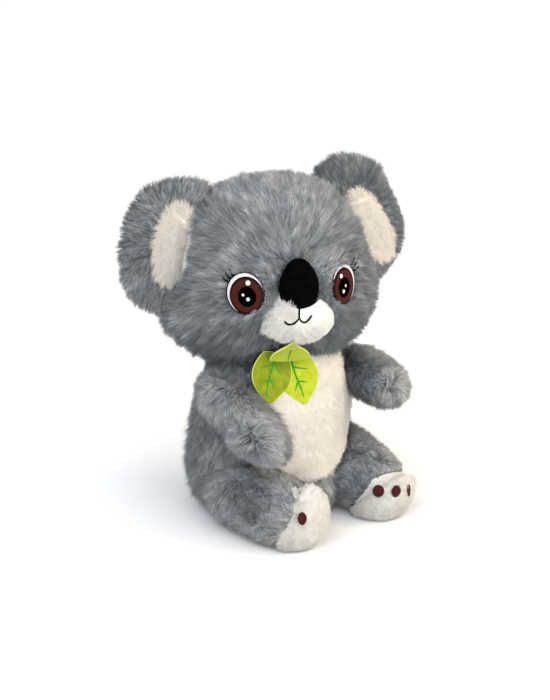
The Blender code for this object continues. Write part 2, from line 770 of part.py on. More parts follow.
def make_leaves():
    """Two leaves that hang side by side from the neck, and the small one that stands on it."""
    place = leaves_place()
    layer = FELT + GAP
    for side, sign, level in (("right", -1, 1), ("left", 1, 0)):
        spot = place @ Matrix.Translation((LEAF_ASIDE + sign * LEAF_SPREAD, 0, level * layer))
        spot = spot @ Matrix.Rotation(sign * LEAF_FAN, 4, "Z")
        leaf_plate(f"leaf_{side}", LEAF_LENGTH, LEAF_WIDTH, spot)
    level = NECK_HEIGHT + TOP_LEAF_OVER_NECK
    top = leaf_plane(TOP_LEAF_LEAN, level, TOP_LEAF_LENGTH, head_form(0))
    top = top @ Matrix.Translation((LEAF_ASIDE, 0, 0)) @ Matrix.Rotation(pi, 4, "Z")
    leaf_plate("leaf_top", TOP_LEAF_LENGTH, TOP_LEAF_WIDTH, top)


def hip_pivot(side):
    """The point that a leg lifts about, at the heel end of its seam, and the line through it."""
    sign = SIDES[side]
    point, out = hip(side)
    back = out.cross(UP).normalized() * -sign
    up = (UP - out * out.z).normalized()
    return point + back * HIP_PIVOT_BACK - up * HIP_PIVOT_BELOW, out * -sign


def joint_lines():
    """For each joint: a point on its line, the line's direction and its pieces' first words."""
    neck = Vector((0, -HEAD_FORWARD, NECK_HEIGHT))
    face = ("head", "eye", "muzzle", "nose", "mouth", "lip", "leaf_top")
    leaves = leaves_place()
    lift = leaves.to_3x3() @ Vector((-1, 0, 0))
    lines = {
        "neck_turn": (neck, UP, face),
        "leaves_lift": (leaves.translation, lift, ("leaf_left", "leaf_right")),
    }
    for side, sign in SIDES.items():
        point, out = shoulder(side)
        lines[f"arm_{side}_raise"] = (point, out * -sign, (f"arm_{side}",))
        lines[f"leg_{side}_lift"] = (*hip_pivot(side), (f"leg_{side}", f"sole_{side}", f"toe_pad_{side}"))
        point, along = ear_hinge(side)
        lines[f"ear_{side}_fold"] = (point, along * sign, (f"ear_{side}",))
    return lines


def hang_on_joints():
    """Gives each joint an empty on its line, its Z along it, and parents the moving pieces to it."""
    pieces = list(bpy.data.objects)
    made = {}
    for name, (point, direction, words) in joint_lines().items():
        up = Vector((0, 1, 0)) if abs(direction.z) == 1 else UP
        pivot = bpy.data.objects.new(name, None)
        pivot.matrix_world = aim(point, direction, up)
        bpy.context.collection.objects.link(pivot)
        made[name] = pivot
        for piece in pieces:
            if piece.name.startswith(words):
                piece.parent = pivot
                piece.matrix_parent_inverse = aim(point, direction, up).inverted()
    for side in SIDES:
        ear = made[f"ear_{side}_fold"]
        place = ear.matrix_basis.copy()
        ear.parent = made["neck_turn"]
        ear.matrix_parent_inverse = made["neck_turn"].matrix_basis.inverted()
        ear.matrix_basis = place


def main():
    """Makes the whole koala."""
    clear_scene()
    make_head()
    make_body()
    make_arms()
    make_legs()
    make_ears()
    make_eyes()
    make_muzzle_and_nose()
    make_mouth()
    make_leaves()
    hang_on_joints()


main()
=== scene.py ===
"""A seated plush koala, dressed for the camera.

Every stuffed form is a closed skin with a coat of pile grown on it strand by strand: long grey pile that
runs away from the nose, down the body and along the limbs, and short cream and white plush on the belly,
the soles, the ears' linings and the muzzle. The eyes and the mouth are embroidery, the nose and the toe
pads are velour, and three felt leaves hang at the neck.

Metres, +Z up. The koala faces -Y, and its right side is -X.
"""

import json
import logging
import math
from collections.abc import Callable, Sequence
from dataclasses import dataclass, replace
from enum import Enum
from functools import cached_property
from typing import ClassVar, NamedTuple

import bmesh
import bpy
import numpy as np
from mathutils import Matrix, Vector
from mathutils.bvhtree import BVHTree
from mathutils.kdtree import KDTree


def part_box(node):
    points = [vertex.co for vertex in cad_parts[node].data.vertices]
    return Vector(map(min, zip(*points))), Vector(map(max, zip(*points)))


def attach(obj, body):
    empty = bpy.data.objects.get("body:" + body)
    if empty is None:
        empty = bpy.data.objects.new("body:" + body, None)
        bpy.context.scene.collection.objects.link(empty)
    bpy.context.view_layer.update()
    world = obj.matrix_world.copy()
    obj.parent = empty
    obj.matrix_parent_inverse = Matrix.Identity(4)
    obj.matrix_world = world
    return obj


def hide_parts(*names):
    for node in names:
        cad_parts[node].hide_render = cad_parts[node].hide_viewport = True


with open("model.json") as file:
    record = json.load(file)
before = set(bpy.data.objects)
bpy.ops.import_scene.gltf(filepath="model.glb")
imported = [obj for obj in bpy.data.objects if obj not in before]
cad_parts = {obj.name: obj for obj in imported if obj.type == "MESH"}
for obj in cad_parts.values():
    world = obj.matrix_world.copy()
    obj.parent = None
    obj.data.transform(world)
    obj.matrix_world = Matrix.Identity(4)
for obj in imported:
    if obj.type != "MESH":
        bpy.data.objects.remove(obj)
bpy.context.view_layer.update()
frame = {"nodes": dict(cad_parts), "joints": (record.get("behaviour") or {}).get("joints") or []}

log = logging.getLogger("koala")

# A vector, or one vector or one number for each point.
Rows = np.ndarray
MM = 0.001
STRAND_MAP = "OFBake"
STITCH_MAP = "Stitch"
WELD = 0.00001
UP = np.array((0.0, 0.0, 1.0))
DOWN = -UP


class Side(Enum):
    """The koala's own right and left."""

    RIGHT = "right"
    LEFT = "left"

    @property
    def sign(self) -> int:
        """-1 on the right, 1 on the left: the sign of that side's x."""
        return -1 if self is Side.RIGHT else 1


def unit(rows: Rows) -> Rows:
    """Vectors, each brought to a length of 1."""
    return rows / np.maximum(np.linalg.norm(rows, axis=-1, keepdims=True), 1e-12)


def along_surface(rows: Rows, normals: Rows) -> Rows:
    """The part of each vector that lies along the surface, brought to a length of 1."""
    return unit(rows - normals * (rows * normals).sum(1, keepdims=True))


def ease(values: Rows, low: float, high: float) -> Rows:
    """0 up to low, 1 from high on, and a smooth rise between them."""
    share = np.clip((values - low) / (high - low), 0, 1)
    return share * share * (3 - 2 * share)


def ease_mm(lengths: Rows, low: float, high: float) -> Rows:
    """The same smooth rise over lengths in metres, between two ends in millimetres."""
    return ease(lengths, low * MM, high * MM)


def drift(spots: Rows, pitch: float, seed: int, width: int = 3) -> Rows:
    """Smooth random vectors over space, as sums of waves in random directions.

    Args:
        spots: the points, in metres.
        pitch: the usual distance between two crests.
        seed: which of the patterns.
        width: how many numbers each point gets.

    Returns:
        One row for each point, mostly between -1 and 1.
    """
    rng = np.random.default_rng(seed)
    waves = 7
    total = np.zeros((len(spots), width))
    for _ in range(waves):
        heading = unit(rng.normal(size=(1, 3)))[0] * 2 * math.pi / pitch * rng.uniform(0.6, 1.4)
        total += np.sin((spots @ heading)[:, None] + rng.uniform(0, 2 * math.pi, width))
    return total / math.sqrt(waves / 2) / 1.5


def read_rows(items: bpy.types.bpy_prop_collection, name: str, width: int = 3) -> Rows:
    """One attribute of a mesh's items.

    Args:
        items: the mesh's points, faces or triangles.
        name: the attribute.
        width: how many numbers each item has.

    Returns:
        One row of numbers for each item.
    """
    whole = name == "vertices"
    flat = np.empty(len(items) * width, np.int32 if whole else np.float32)
    items.foreach_get(name, flat)
    return flat.reshape(-1, width).astype(int if whole else float)


def joint_place(name: str) -> Rows:
    """The point that a joint turns about."""
    return np.array(next(joint["pos_m"] for joint in frame["joints"] if joint["name"] == name))


def link_piece(name: str, data: bpy.types.ID) -> bpy.types.Object:
    """A new object of a mesh, curve, lamp or camera, in the scene."""
    piece = bpy.data.objects.new(name, data)
    bpy.context.scene.collection.objects.link(piece)
    return piece


def mesh_piece(name: str, bm: bmesh.types.BMesh, *materials: bpy.types.Material) -> bpy.types.Object:
    """Turns a bmesh into a piece with its materials, shaded smooth.

    Args:
        name: the piece's name.
        bm: the mesh, which is freed.
        materials: in the order of the faces' material indices.

    Returns:
        The piece, with its place in its mesh.
    """
    mesh = bpy.data.meshes.new(name)
    bm.to_mesh(mesh)
    bm.free()
    for material in materials:
        mesh.materials.append(material)
    mesh.shade_smooth()
    return link_piece(name, mesh)


def settle(piece: bpy.types.Object) -> bpy.types.Object:
    """Applies a piece's modifiers, or turns a curve into a mesh, and leaves its place in the mesh.

    Args:
        piece: the piece, which is removed if it is a curve.

    Returns:
        The piece, or the mesh that takes the curve's place.
    """
    bpy.context.view_layer.update()
    done = bpy.data.meshes.new_from_object(piece.evaluated_get(bpy.context.evaluated_depsgraph_get()))
    name = piece.name
    if piece.type == "MESH":
        piece.modifiers.clear()
        piece.data = done
        return piece
    bpy.data.objects.remove(piece)
    done.name = name
    return link_piece(name, done)


def raised_items(bm: bmesh.types.BMesh) -> tuple[list[bmesh.types.BMVert], list[bmesh.types.BMFace]]:
    """Extrudes all of a flat model's faces, in place.

    Args:
        bm: the flat model.

    Returns:
        The new corners and the new faces.
    """
    made = bmesh.ops.extrude_face_region(bm, geom=bm.faces[:])["geom"]
    kinds = (bmesh.types.BMVert, bmesh.types.BMFace)
    return tuple([item for item in made if isinstance(item, kind)] for kind in kinds)


def srgb(code: str) -> tuple[float, float, float, float]:
    """An sRGB hex value as the linear colour that Blender's nodes take."""
    parts = [int(code[place : place + 2], 16) / 255 for place in (1, 3, 5)]
    linear = [part / 12.92 if part <= 0.04045 else ((part + 0.055) / 1.055) ** 2.4 for part in parts]
    return (*linear, 1.0)


def add_node(
    tree: bpy.types.NodeTree,
    kind: str | bpy.types.Node,
    inputs: dict | None = None,
    stops: Sequence[tuple[float, str]] = (),
    **settings: object,
) -> bpy.types.Node:
    """Adds a node with its settings, values and links.

    Args:
        tree: the material's or the world's node tree.
        kind: the node's type, or a node that the tree has already.
        inputs: for each input, by name or number, a value or the socket that feeds it.
        stops: the (place, sRGB hex) steps of a colour ramp.
        settings: the node's own properties.

    Returns:
        The node.
    """
    node = tree.nodes.new(kind) if isinstance(kind, str) else kind
    for name, value in settings.items():
        setattr(node, name, value)
    for name, value in (inputs or {}).items():
        if isinstance(value, bpy.types.NodeSocket):
            tree.links.new(value, node.inputs[name])
        else:
            node.inputs[name].default_value = value
    if stops:
        ramp = node.color_ramp.elements
        while len(ramp) < len(stops):
            ramp.new(0.5)
        for stop, (place, code) in zip(ramp, stops):
            stop.position = place
            stop.color = srgb(code)
    return node


def blank(name: str) -> tuple[bpy.types.Material, bpy.types.NodeTree, bpy.types.Node]:
    """A new material with its node tree and its Principled shader."""
    made = bpy.data.materials.new(name)
    made.use_nodes = True
    return made, made.node_tree, made.node_tree.nodes["Principled BSDF"]


@dataclass(frozen=True)
class PileFinish:
    """Acrylic pile: fine crimped fibres, dyed in the mass, matte, with a soft bloom at grazing light.

    The colour is read from the strands' own map: across it runs the strand's tone, and up it the way from
    root to tip. The roots are deeper because the pile shades itself there.
    """

    name: str
    slot: str
    tones: tuple[str, str, str]
    lengthwise: tuple[tuple[float, str], ...]
    sheen: float = 0.05

    def make(self) -> bpy.types.Material:
        """Builds the material."""
        made, tree, shader = blank(self.name)
        place = add_node(tree, "ShaderNodeUVMap", uv_map=STRAND_MAP)
        parts = add_node(tree, "ShaderNodeSeparateXYZ", {"Vector": place.outputs["UV"]})
        tones = tuple(zip((0.0, 0.5, 1.0), self.tones))
        tone = add_node(tree, "ShaderNodeValToRGB", {"Fac": parts.outputs["X"]}, tones)
        length = add_node(tree, "ShaderNodeValToRGB", {"Fac": parts.outputs["Y"]}, self.lengthwise)
        colours = {0: 1.0, 6: tone.outputs["Color"], 7: length.outputs["Color"]}
        both = add_node(tree, "ShaderNodeMix", colours, data_type="RGBA", blend_type="MULTIPLY")
        gloss = {"Roughness": 0.75, "Specular IOR Level": 0.25}
        bloom = {"Sheen Weight": self.sheen, "Sheen Roughness": 0.5}
        add_node(tree, shader, {"Base Color": both.outputs[2], **gloss, **bloom})
        return made


@dataclass(frozen=True)
class ClothFinish:
    """Cloth with no pile long enough to see: two shades in clouds, and the fine relief of its fibres.

    cloud and fibre are the pitches of the clouds and the fibres, spread is how far the shades lie apart,
    and relief is the strength and the depth of the fibres' bumps.
    """

    cloud: float
    detail: float
    spread: float
    roughness: float
    specular: float
    sheen: float = 0.0
    fibre: float = 0.0
    fibre_detail: float = 2.0
    tangle: float = 0.0
    relief: tuple[float, float] = (0.0, 0.0)
    name: str = ""
    slot: str = ""
    shades: tuple[str, str] = ("", "")

    def make(self) -> bpy.types.Material:
        """Builds the material."""
        made, tree, shader = blank(self.name)
        spot = add_node(tree, "ShaderNodeTexCoord").outputs["Object"]
        cloud = {"Vector": spot, "Scale": 1 / self.cloud, "Detail": self.detail}
        clouds = add_node(tree, "ShaderNodeTexNoise", cloud)
        stops = tuple(zip((0.5 - self.spread, 0.5 + self.spread), self.shades))
        shade = add_node(tree, "ShaderNodeValToRGB", {"Fac": clouds.outputs["Fac"]}, stops)
        gloss = {"Roughness": self.roughness, "Specular IOR Level": self.specular, "Sheen Weight": self.sheen}
        add_node(tree, shader, {"Base Color": shade.outputs["Color"], **gloss})
        if self.fibre:
            fuzz = {"Scale": 1 / self.fibre, "Detail": self.fibre_detail, "Distortion": self.tangle}
            fibres = add_node(tree, "ShaderNodeTexNoise", {"Vector": spot, **fuzz}).outputs["Fac"]
            bumps = {"Height": fibres, "Strength": self.relief[0], "Distance": self.relief[1]}
            add_node(tree, shader, {"Normal": add_node(tree, "ShaderNodeBump", bumps).outputs["Normal"]})
        return made


@dataclass(frozen=True)
class ThreadFinish:
    """Rayon embroidery thread laid in satin stitches: side by side, with the slight gloss of rayon.

    The field's own map runs round it in u and from its middle out in v, so the stitches point inwards.
    """

    name: str
    slot: str
    edge: str
    middle: str
    heart: str
    gloss: float = 0.05
    pitch: float = 0.45 * MM
    bands: float = 26.0

    def make(self) -> bpy.types.Material:
        """Builds the material."""
        made, tree, shader = blank(self.name)
        place = add_node(tree, "ShaderNodeUVMap", uv_map=STITCH_MAP).outputs["UV"]
        parts = add_node(tree, "ShaderNodeSeparateXYZ", {"Vector": place})
        stops = ((0.0, self.heart), (0.62, self.middle), (0.86, self.middle), (0.97, self.edge))
        shade = add_node(tree, "ShaderNodeValToRGB", {"Fac": parts.outputs["Y"]}, stops)
        waves = {"Vector": place, "Scale": self.bands, "Distortion": 1.2, "Detail": 1.0}
        rows = add_node(tree, "ShaderNodeTexWave", waves, wave_type="BANDS", bands_direction="X")
        colours = {0: 0.22, 6: shade.outputs["Color"], 7: rows.outputs["Color"]}
        streak = add_node(tree, "ShaderNodeMix", colours, data_type="RGBA", blend_type="MULTIPLY")
        bumps = {"Height": rows.outputs["Fac"], "Strength": 0.25, "Distance": self.pitch / 3}
        relief = add_node(tree, "ShaderNodeBump", bumps).outputs["Normal"]
        gloss = {"Roughness": 0.6, "Specular IOR Level": self.gloss}
        add_node(tree, shader, {"Base Color": streak.outputs[2], "Normal": relief, **gloss})
        return made


# Knitted backing with the pile's roots on it, mottled at the tufts: seen only as depth between the strands.
BACKING = ClothFinish(cloud=3.2 * MM, detail=3.0, spread=0.15, roughness=0.95, specular=0.10)
# Velour: a sheared pile under 1 mm, so it drinks light and only its edges bloom.
VELOUR = ClothFinish(
    cloud=4.8 * MM, detail=4.0, spread=0.20, roughness=0.95, specular=0.01, sheen=0.08,
    fibre=0.8 * MM, relief=(0.35, 0.3 * MM),
)
# Pressed wool felt: no weave, only matted fibres as fine as the render can show, and a cloudy dye.
FELT = ClothFinish(
    cloud=6.0 * MM, detail=5.0, spread=0.20, roughness=0.90, specular=0.20, sheen=0.15,
    fibre=0.5 * MM, fibre_detail=3.0, tangle=1.5, relief=(0.40, 0.15 * MM),
)


class Finish(Enum):
    """Every finish of the koala, with the record's slot for it."""

    GREY_PILE = PileFinish(
        "Grey long pile faux fur", "grey_fur", ("#63686c", "#9c9fa1", "#d2d2cf"),
        ((0.0, "#6c7073"), (0.45, "#c8c9ca"), (1.0, "#ffffff")), sheen=0.10,
    )
    CREAM_PILE = PileFinish(
        "Cream minky plush", "cream_plush", ("#ddd7cd", "#e5e0d7", "#edebe6"),
        ((0.0, "#e9e4dc"), (1.0, "#ffffff")),
    )
    # A darker copy of the cream plush for the ears' linings, in the ears' cups: painted shade.
    LINING_PILE = PileFinish(
        "Cream minky plush, pressed", "cream_plush", ("#cfc9be", "#dbd5cb", "#e5e0d7"),
        ((0.0, "#dcd6cd"), (1.0, "#ffffff")),
    )
    WHITE_PILE = PileFinish(
        "White plush", "white_plush", ("#d0cec6", "#dfddd6", "#ebeae5"), ((0.0, "#dedcd8"), (1.0, "#ffffff"))
    )
    GREY_BACKING = replace(BACKING, name="Grey fur backing", slot="grey_fur", shades=("#4a4e52", "#6c7074"))
    CREAM_BACKING = replace(
        BACKING, name="Cream minky backing", slot="cream_plush", shades=("#d9d0c4", "#e6ded3")
    )
    WHITE_BACKING = replace(
        BACKING, name="White plush backing", slot="white_plush", shades=("#ccc9c3", "#dad8d3")
    )
    BLACK_VELOUR = replace(
        VELOUR, name="Black velour", slot="black_velour", shades=("#020203", "#060607"), sheen=0.0
    )
    MAROON_VELOUR = replace(VELOUR, name="Maroon velour", slot="maroon_velour", shades=("#2e1313", "#421d1d"))
    DARK_THREAD = ThreadFinish(
        "Black brown rayon thread", "black_thread", "#120a09", "#120a09", "#120a09", gloss=0.02
    )
    WHITE_THREAD = ThreadFinish("White rayon thread", "white_thread", "#d2ccd2", "#dcd7de", "#dcd7de")
    BROWN_THREAD = ThreadFinish("Brown rayon thread", "brown_thread", "#1a0a08", "#421a13", "#220d0a")
    BLACK_THREAD = ThreadFinish(
        "Black rayon thread", "black_thread", "#030202", "#030202", "#030202", gloss=0.0
    )
    LIME_FELT = replace(FELT, name="Lime wool felt", slot="lime_felt", shades=("#909c18", "#a3ae2a"))
    # A darker copy of the lime felt for the right leaf: painted shade.
    SHADED_FELT = replace(
        FELT, name="Lime wool felt brushed the other way", slot="lime_felt", shades=("#64710b", "#818d16")
    )
    # A lighter copy of the lime felt for the leaves' cut edges: a painted highlight.
    CUT_FELT = replace(FELT, name="Lime felt cut edge", slot="lime_felt", shades=("#c2cc4e", "#d2da66"))
    VEIN_PRINT = replace(FELT, name="Green vein print", slot="lime_felt", shades=("#2c7410", "#3a8616"))

    @cached_property
    def material(self) -> bpy.types.Material:
        """The finish's material, made when it is first used."""
        return self.value.make()


def place_piece(
    piece: bpy.types.Object, body: str, finish: Finish, *nodes: str, fill: float = 0.0
) -> bpy.types.Object:
    """Puts a piece on its body in its nodes' place.

    Args:
        piece: the piece.
        body: the body that it rides on.
        finish: what it is made of; not used.
        nodes: the CAD nodes that it stands for.
        fill: how full a stuffed piece is; not used.

    Returns:
        The piece.
    """
    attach(piece, body)
    if nodes:
        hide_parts(*nodes)
    return piece


class Skin:
    """A smooth closed skin made from a CAD solid, and the points, normals and faces of it."""

    def __init__(
        self,
        name: str,
        node: str,
        cloth: Finish,
        voxel: float,
        passes: int,
        shift: Sequence[float] = (0, 0, 0),
    ) -> None:
        """Welds a solid's mesh, remeshes it to even faces and eases its facets away.

        Args:
            name: the skin's piece name.
            node: the CAD node that it is made from.
            cloth: what it is made of.
            voxel: the size of its faces, in millimetres.
            passes: how many times it is smoothed.
            shift: how far it is moved.
        """
        bm = bmesh.new()
        bm.from_mesh(frame["nodes"][node].data)
        bmesh.ops.remove_doubles(bm, verts=bm.verts, dist=WELD)
        bmesh.ops.translate(bm, vec=tuple(shift), verts=bm.verts)
        self.cloth = cloth
        self.piece = mesh_piece(name, bm)
        even = self.piece.modifiers.new("even faces", "REMESH")
        even.mode = "VOXEL"
        even.voxel_size = voxel * MM
        even.use_smooth_shade = True
        eased = self.piece.modifiers.new("eased facets", "SMOOTH")
        eased.factor = 0.5
        eased.iterations = passes
        settle(self.piece).data.materials.append(cloth.material)
        self.read()

    def read(self) -> None:
        """Takes the mesh's points, normals and triangles."""
        mesh = self.piece.data
        mesh.calc_loop_triangles()
        self.points = read_rows(mesh.vertices, "co")
        self.normals = read_rows(mesh.vertex_normals, "vector")
        self.faces = read_rows(mesh.loop_triangles, "vertices")
        self.tree = BVHTree.FromPolygons(self.points.tolist(), self.faces.tolist())

    def push(self, moves: Rows) -> None:
        """Moves the skin's points, as the stuffing does where it is packed harder or softer."""
        self.piece.data.vertices.foreach_set("co", (self.points + moves).astype(np.float32).ravel())
        self.piece.data.update()
        self.read()

    def stretch(self, middle: Rows, axis: Rows, share: float) -> None:
        """Makes the skin longer or shorter along one way, from a middle out."""
        self.push(((share - 1) * ((self.points - middle) @ axis))[:, None] * axis)

    def place(self, body: str, *nodes: str, fill: float = 0.0) -> None:
        """Puts the skin on its body in its nodes' place."""
        place_piece(self.piece, body, self.cloth, *nodes, fill=fill)

    def gap(self, spots: Rows) -> Rows:
        """How far each point is from the skin, up to 10 mm."""
        found = (self.tree.find_nearest(spot, 10 * MM)[3] for spot in spots)
        return np.array([10 * MM if distance is None else distance for distance in found])

    @property
    def middle(self) -> Rows:
        """The middle of the skin's box."""
        return (self.points.min(0) + self.points.max(0)) / 2

    def scatter(self, per_mm2: float, density: Callable[[Rows, Rows], Rows]) -> tuple[Rows, Rows]:
        """Spreads roots evenly over the skin.

        Args:
            per_mm2: how many there are on a square millimetre.
            density: gives the share of them at points with their normals.

        Returns:
            The roots and the skin's normals there.
        """
        a, b, c = (self.points[self.faces[:, corner]] for corner in range(3))
        areas = np.linalg.norm(np.cross(b - a, c - a), axis=1) / 2
        normals = unit(self.normals[self.faces].sum(1))
        weights = np.cumsum(areas * density((a + b + c) / 3, normals))
        count = int(weights[-1] / MM**2 * per_mm2)
        order = np.arange(count)
        chosen = np.searchsorted(weights, (order + 0.5) / count * weights[-1])
        corners = self.faces[np.minimum(chosen, len(self.faces) - 1)]
        # Steps by powers of the plastic number spread the roots in a triangle without rows or clumps.
        plastic = 1.32471795724474602596
        u, v = (order / plastic) % 1, (order / plastic**2) % 1
        over = u + v > 1
        u, v = np.where(over, 1 - u, u)[:, None], np.where(over, 1 - v, v)[:, None]
        shares = (1 - u - v, u, v)
        roots = sum(share * self.points[corners[:, k]] for k, share in enumerate(shares))
        return roots, unit(sum(share * self.normals[corners[:, k]] for k, share in enumerate(shares)))


@dataclass(frozen=True)
class Pile:
    """How the strands of one pile fabric stand.

    Lengths are in metres and lift in degrees from the cloth. tuft is the pitch of the locks that the
    strands gather in, pull the share by which their tips come together, stray how far they lean, uneven
    how much their lengths differ, wild the share of strands that stand up, and softness the share of the
    cloth's own normal in a strand's shading, because light scatters among real fibres.
    """

    length: float = 12.0 * MM
    lift: float = 34
    per_mm2: float = 3.4
    width: float = 0.56 * MM
    tuft: float = 2.4 * MM
    pull: float = 0.25
    stray: float = 0.16
    uneven: float = 0.36
    softness: float = 0.55
    wild: float = 0.05


GREY_PILE = Pile()
EAR_PILE = Pile(length=10.0 * MM, tuft=1.6 * MM, pull=0.14, stray=0.12, uneven=0.28)
LIMB_PILE = Pile(length=9.5 * MM, lift=29, tuft=1.9 * MM, pull=0.18, stray=0.11, uneven=0.26)
MUZZLE_PILE = Pile(
    length=5.5 * MM, per_mm2=4.6, width=0.50 * MM, tuft=2.2 * MM, stray=0.20, uneven=0.40, softness=0.75
)
LINING_PILE = replace(MUZZLE_PILE, length=4.2 * MM, lift=32.2, tuft=2.6 * MM)
SHORT_PLUSH = Pile(
    length=3.2 * MM, lift=42, width=0.62 * MM, tuft=2.0 * MM, pull=0.10, stray=0.30, uneven=0.22,
    softness=0.85,
)
SOLE_PLUSH = replace(SHORT_PLUSH, length=2.6 * MM, lift=50)


class Strands(NamedTuple):
    """The strands of a coat: where each starts and ends, and how it is shaded."""

    roots: Rows
    tips: Rows
    normals: Rows
    widths: Rows
    tones: Rows


class StrandMould:
    """One closed strand of three sides, modelled once and then repeated by the ten thousand."""

    def __init__(self) -> None:
        """Models the strand: a triangle drawn up to a point."""
        bm = bmesh.new()
        bmesh.ops.create_circle(bm, cap_ends=True, segments=3, radius=1)
        corners, _ = raised_items(bm)
        bmesh.ops.pointmerge(bm, verts=corners, merge_co=(0, 0, 1))
        bmesh.ops.recalc_face_normals(bm, faces=bm.faces)
        bmesh.ops.triangulate(bm, faces=bm.faces)
        bm.verts.ensure_lookup_table()
        bm.verts.index_update()
        self.level = np.array([round(vert.co.z) for vert in bm.verts])
        self.side, self.top = np.array([vert.co.xy for vert in bm.verts]).T
        self.faces = np.array([[vert.index for vert in face.verts] for face in bm.faces])
        bm.free()

    def weave(self, name: str, strands: Strands, softness: float, finish: Finish) -> bpy.types.Object:
        """Repeats the strand over a coat's roots, as one piece.

        Args:
            name: the piece's name.
            strands: where each strand goes.
            softness: the share of the cloth's normal in the strands' shading.
            finish: the pile.

        Returns:
            The piece, with the map that its material reads.
        """
        heading = unit(strands.tips - strands.roots)
        over = along_surface(strands.normals, heading)
        aside = np.cross(over, heading)
        half = strands.widths[:, None] / 2 * (1.0 - self.level)
        spread = self.side[:, None] * aside[:, None] + self.top[:, None] * over[:, None]
        points = np.stack((strands.roots, strands.tips), axis=1)[:, self.level] + half[:, :, None] * spread
        points[:, :, 2] = np.maximum(points[:, :, 2], 0.2 * MM)
        facing = np.where((self.level == 1)[:, None], over[:, None], spread)
        shaded = unit(softness * strands.normals[:, None] + (1 - softness) * facing)
        count, per = len(strands.tones), len(self.level)
        corners = (self.faces[None] + per * np.arange(count)[:, None, None]).reshape(-1)
        # A coat has tens of thousands of strands, so the moulded one is repeated as whole arrays.
        mesh = bpy.data.meshes.new(name)
        mesh.vertices.add(count * per)
        mesh.vertices.foreach_set("co", points.astype(np.float32).ravel())
        mesh.loops.add(len(corners))
        mesh.loops.foreach_set("vertex_index", corners.astype(np.int32))
        mesh.polygons.add(len(corners) // 3)
        mesh.polygons.foreach_set("loop_start", np.arange(0, len(corners), 3, dtype=np.int32))
        mesh.update(calc_edges=True)
        u = strands.tones[:, None] * 0.96 + 0.02 + 0.008 * self.side
        v = np.broadcast_to(0.03 + 0.94 * self.level + 0.01 * self.top, u.shape)
        places = np.stack((u, v), axis=2).reshape(-1, 2)[corners]
        mesh.uv_layers.new(name=STRAND_MAP).data.foreach_set("uv", places.astype(np.float32).ravel())
        mesh.normals_split_custom_set_from_vertices(shaded.reshape(-1, 3).astype(np.float32))
        mesh.materials.append(finish.material)
        return link_piece(name, mesh)


STRAND = StrandMould()


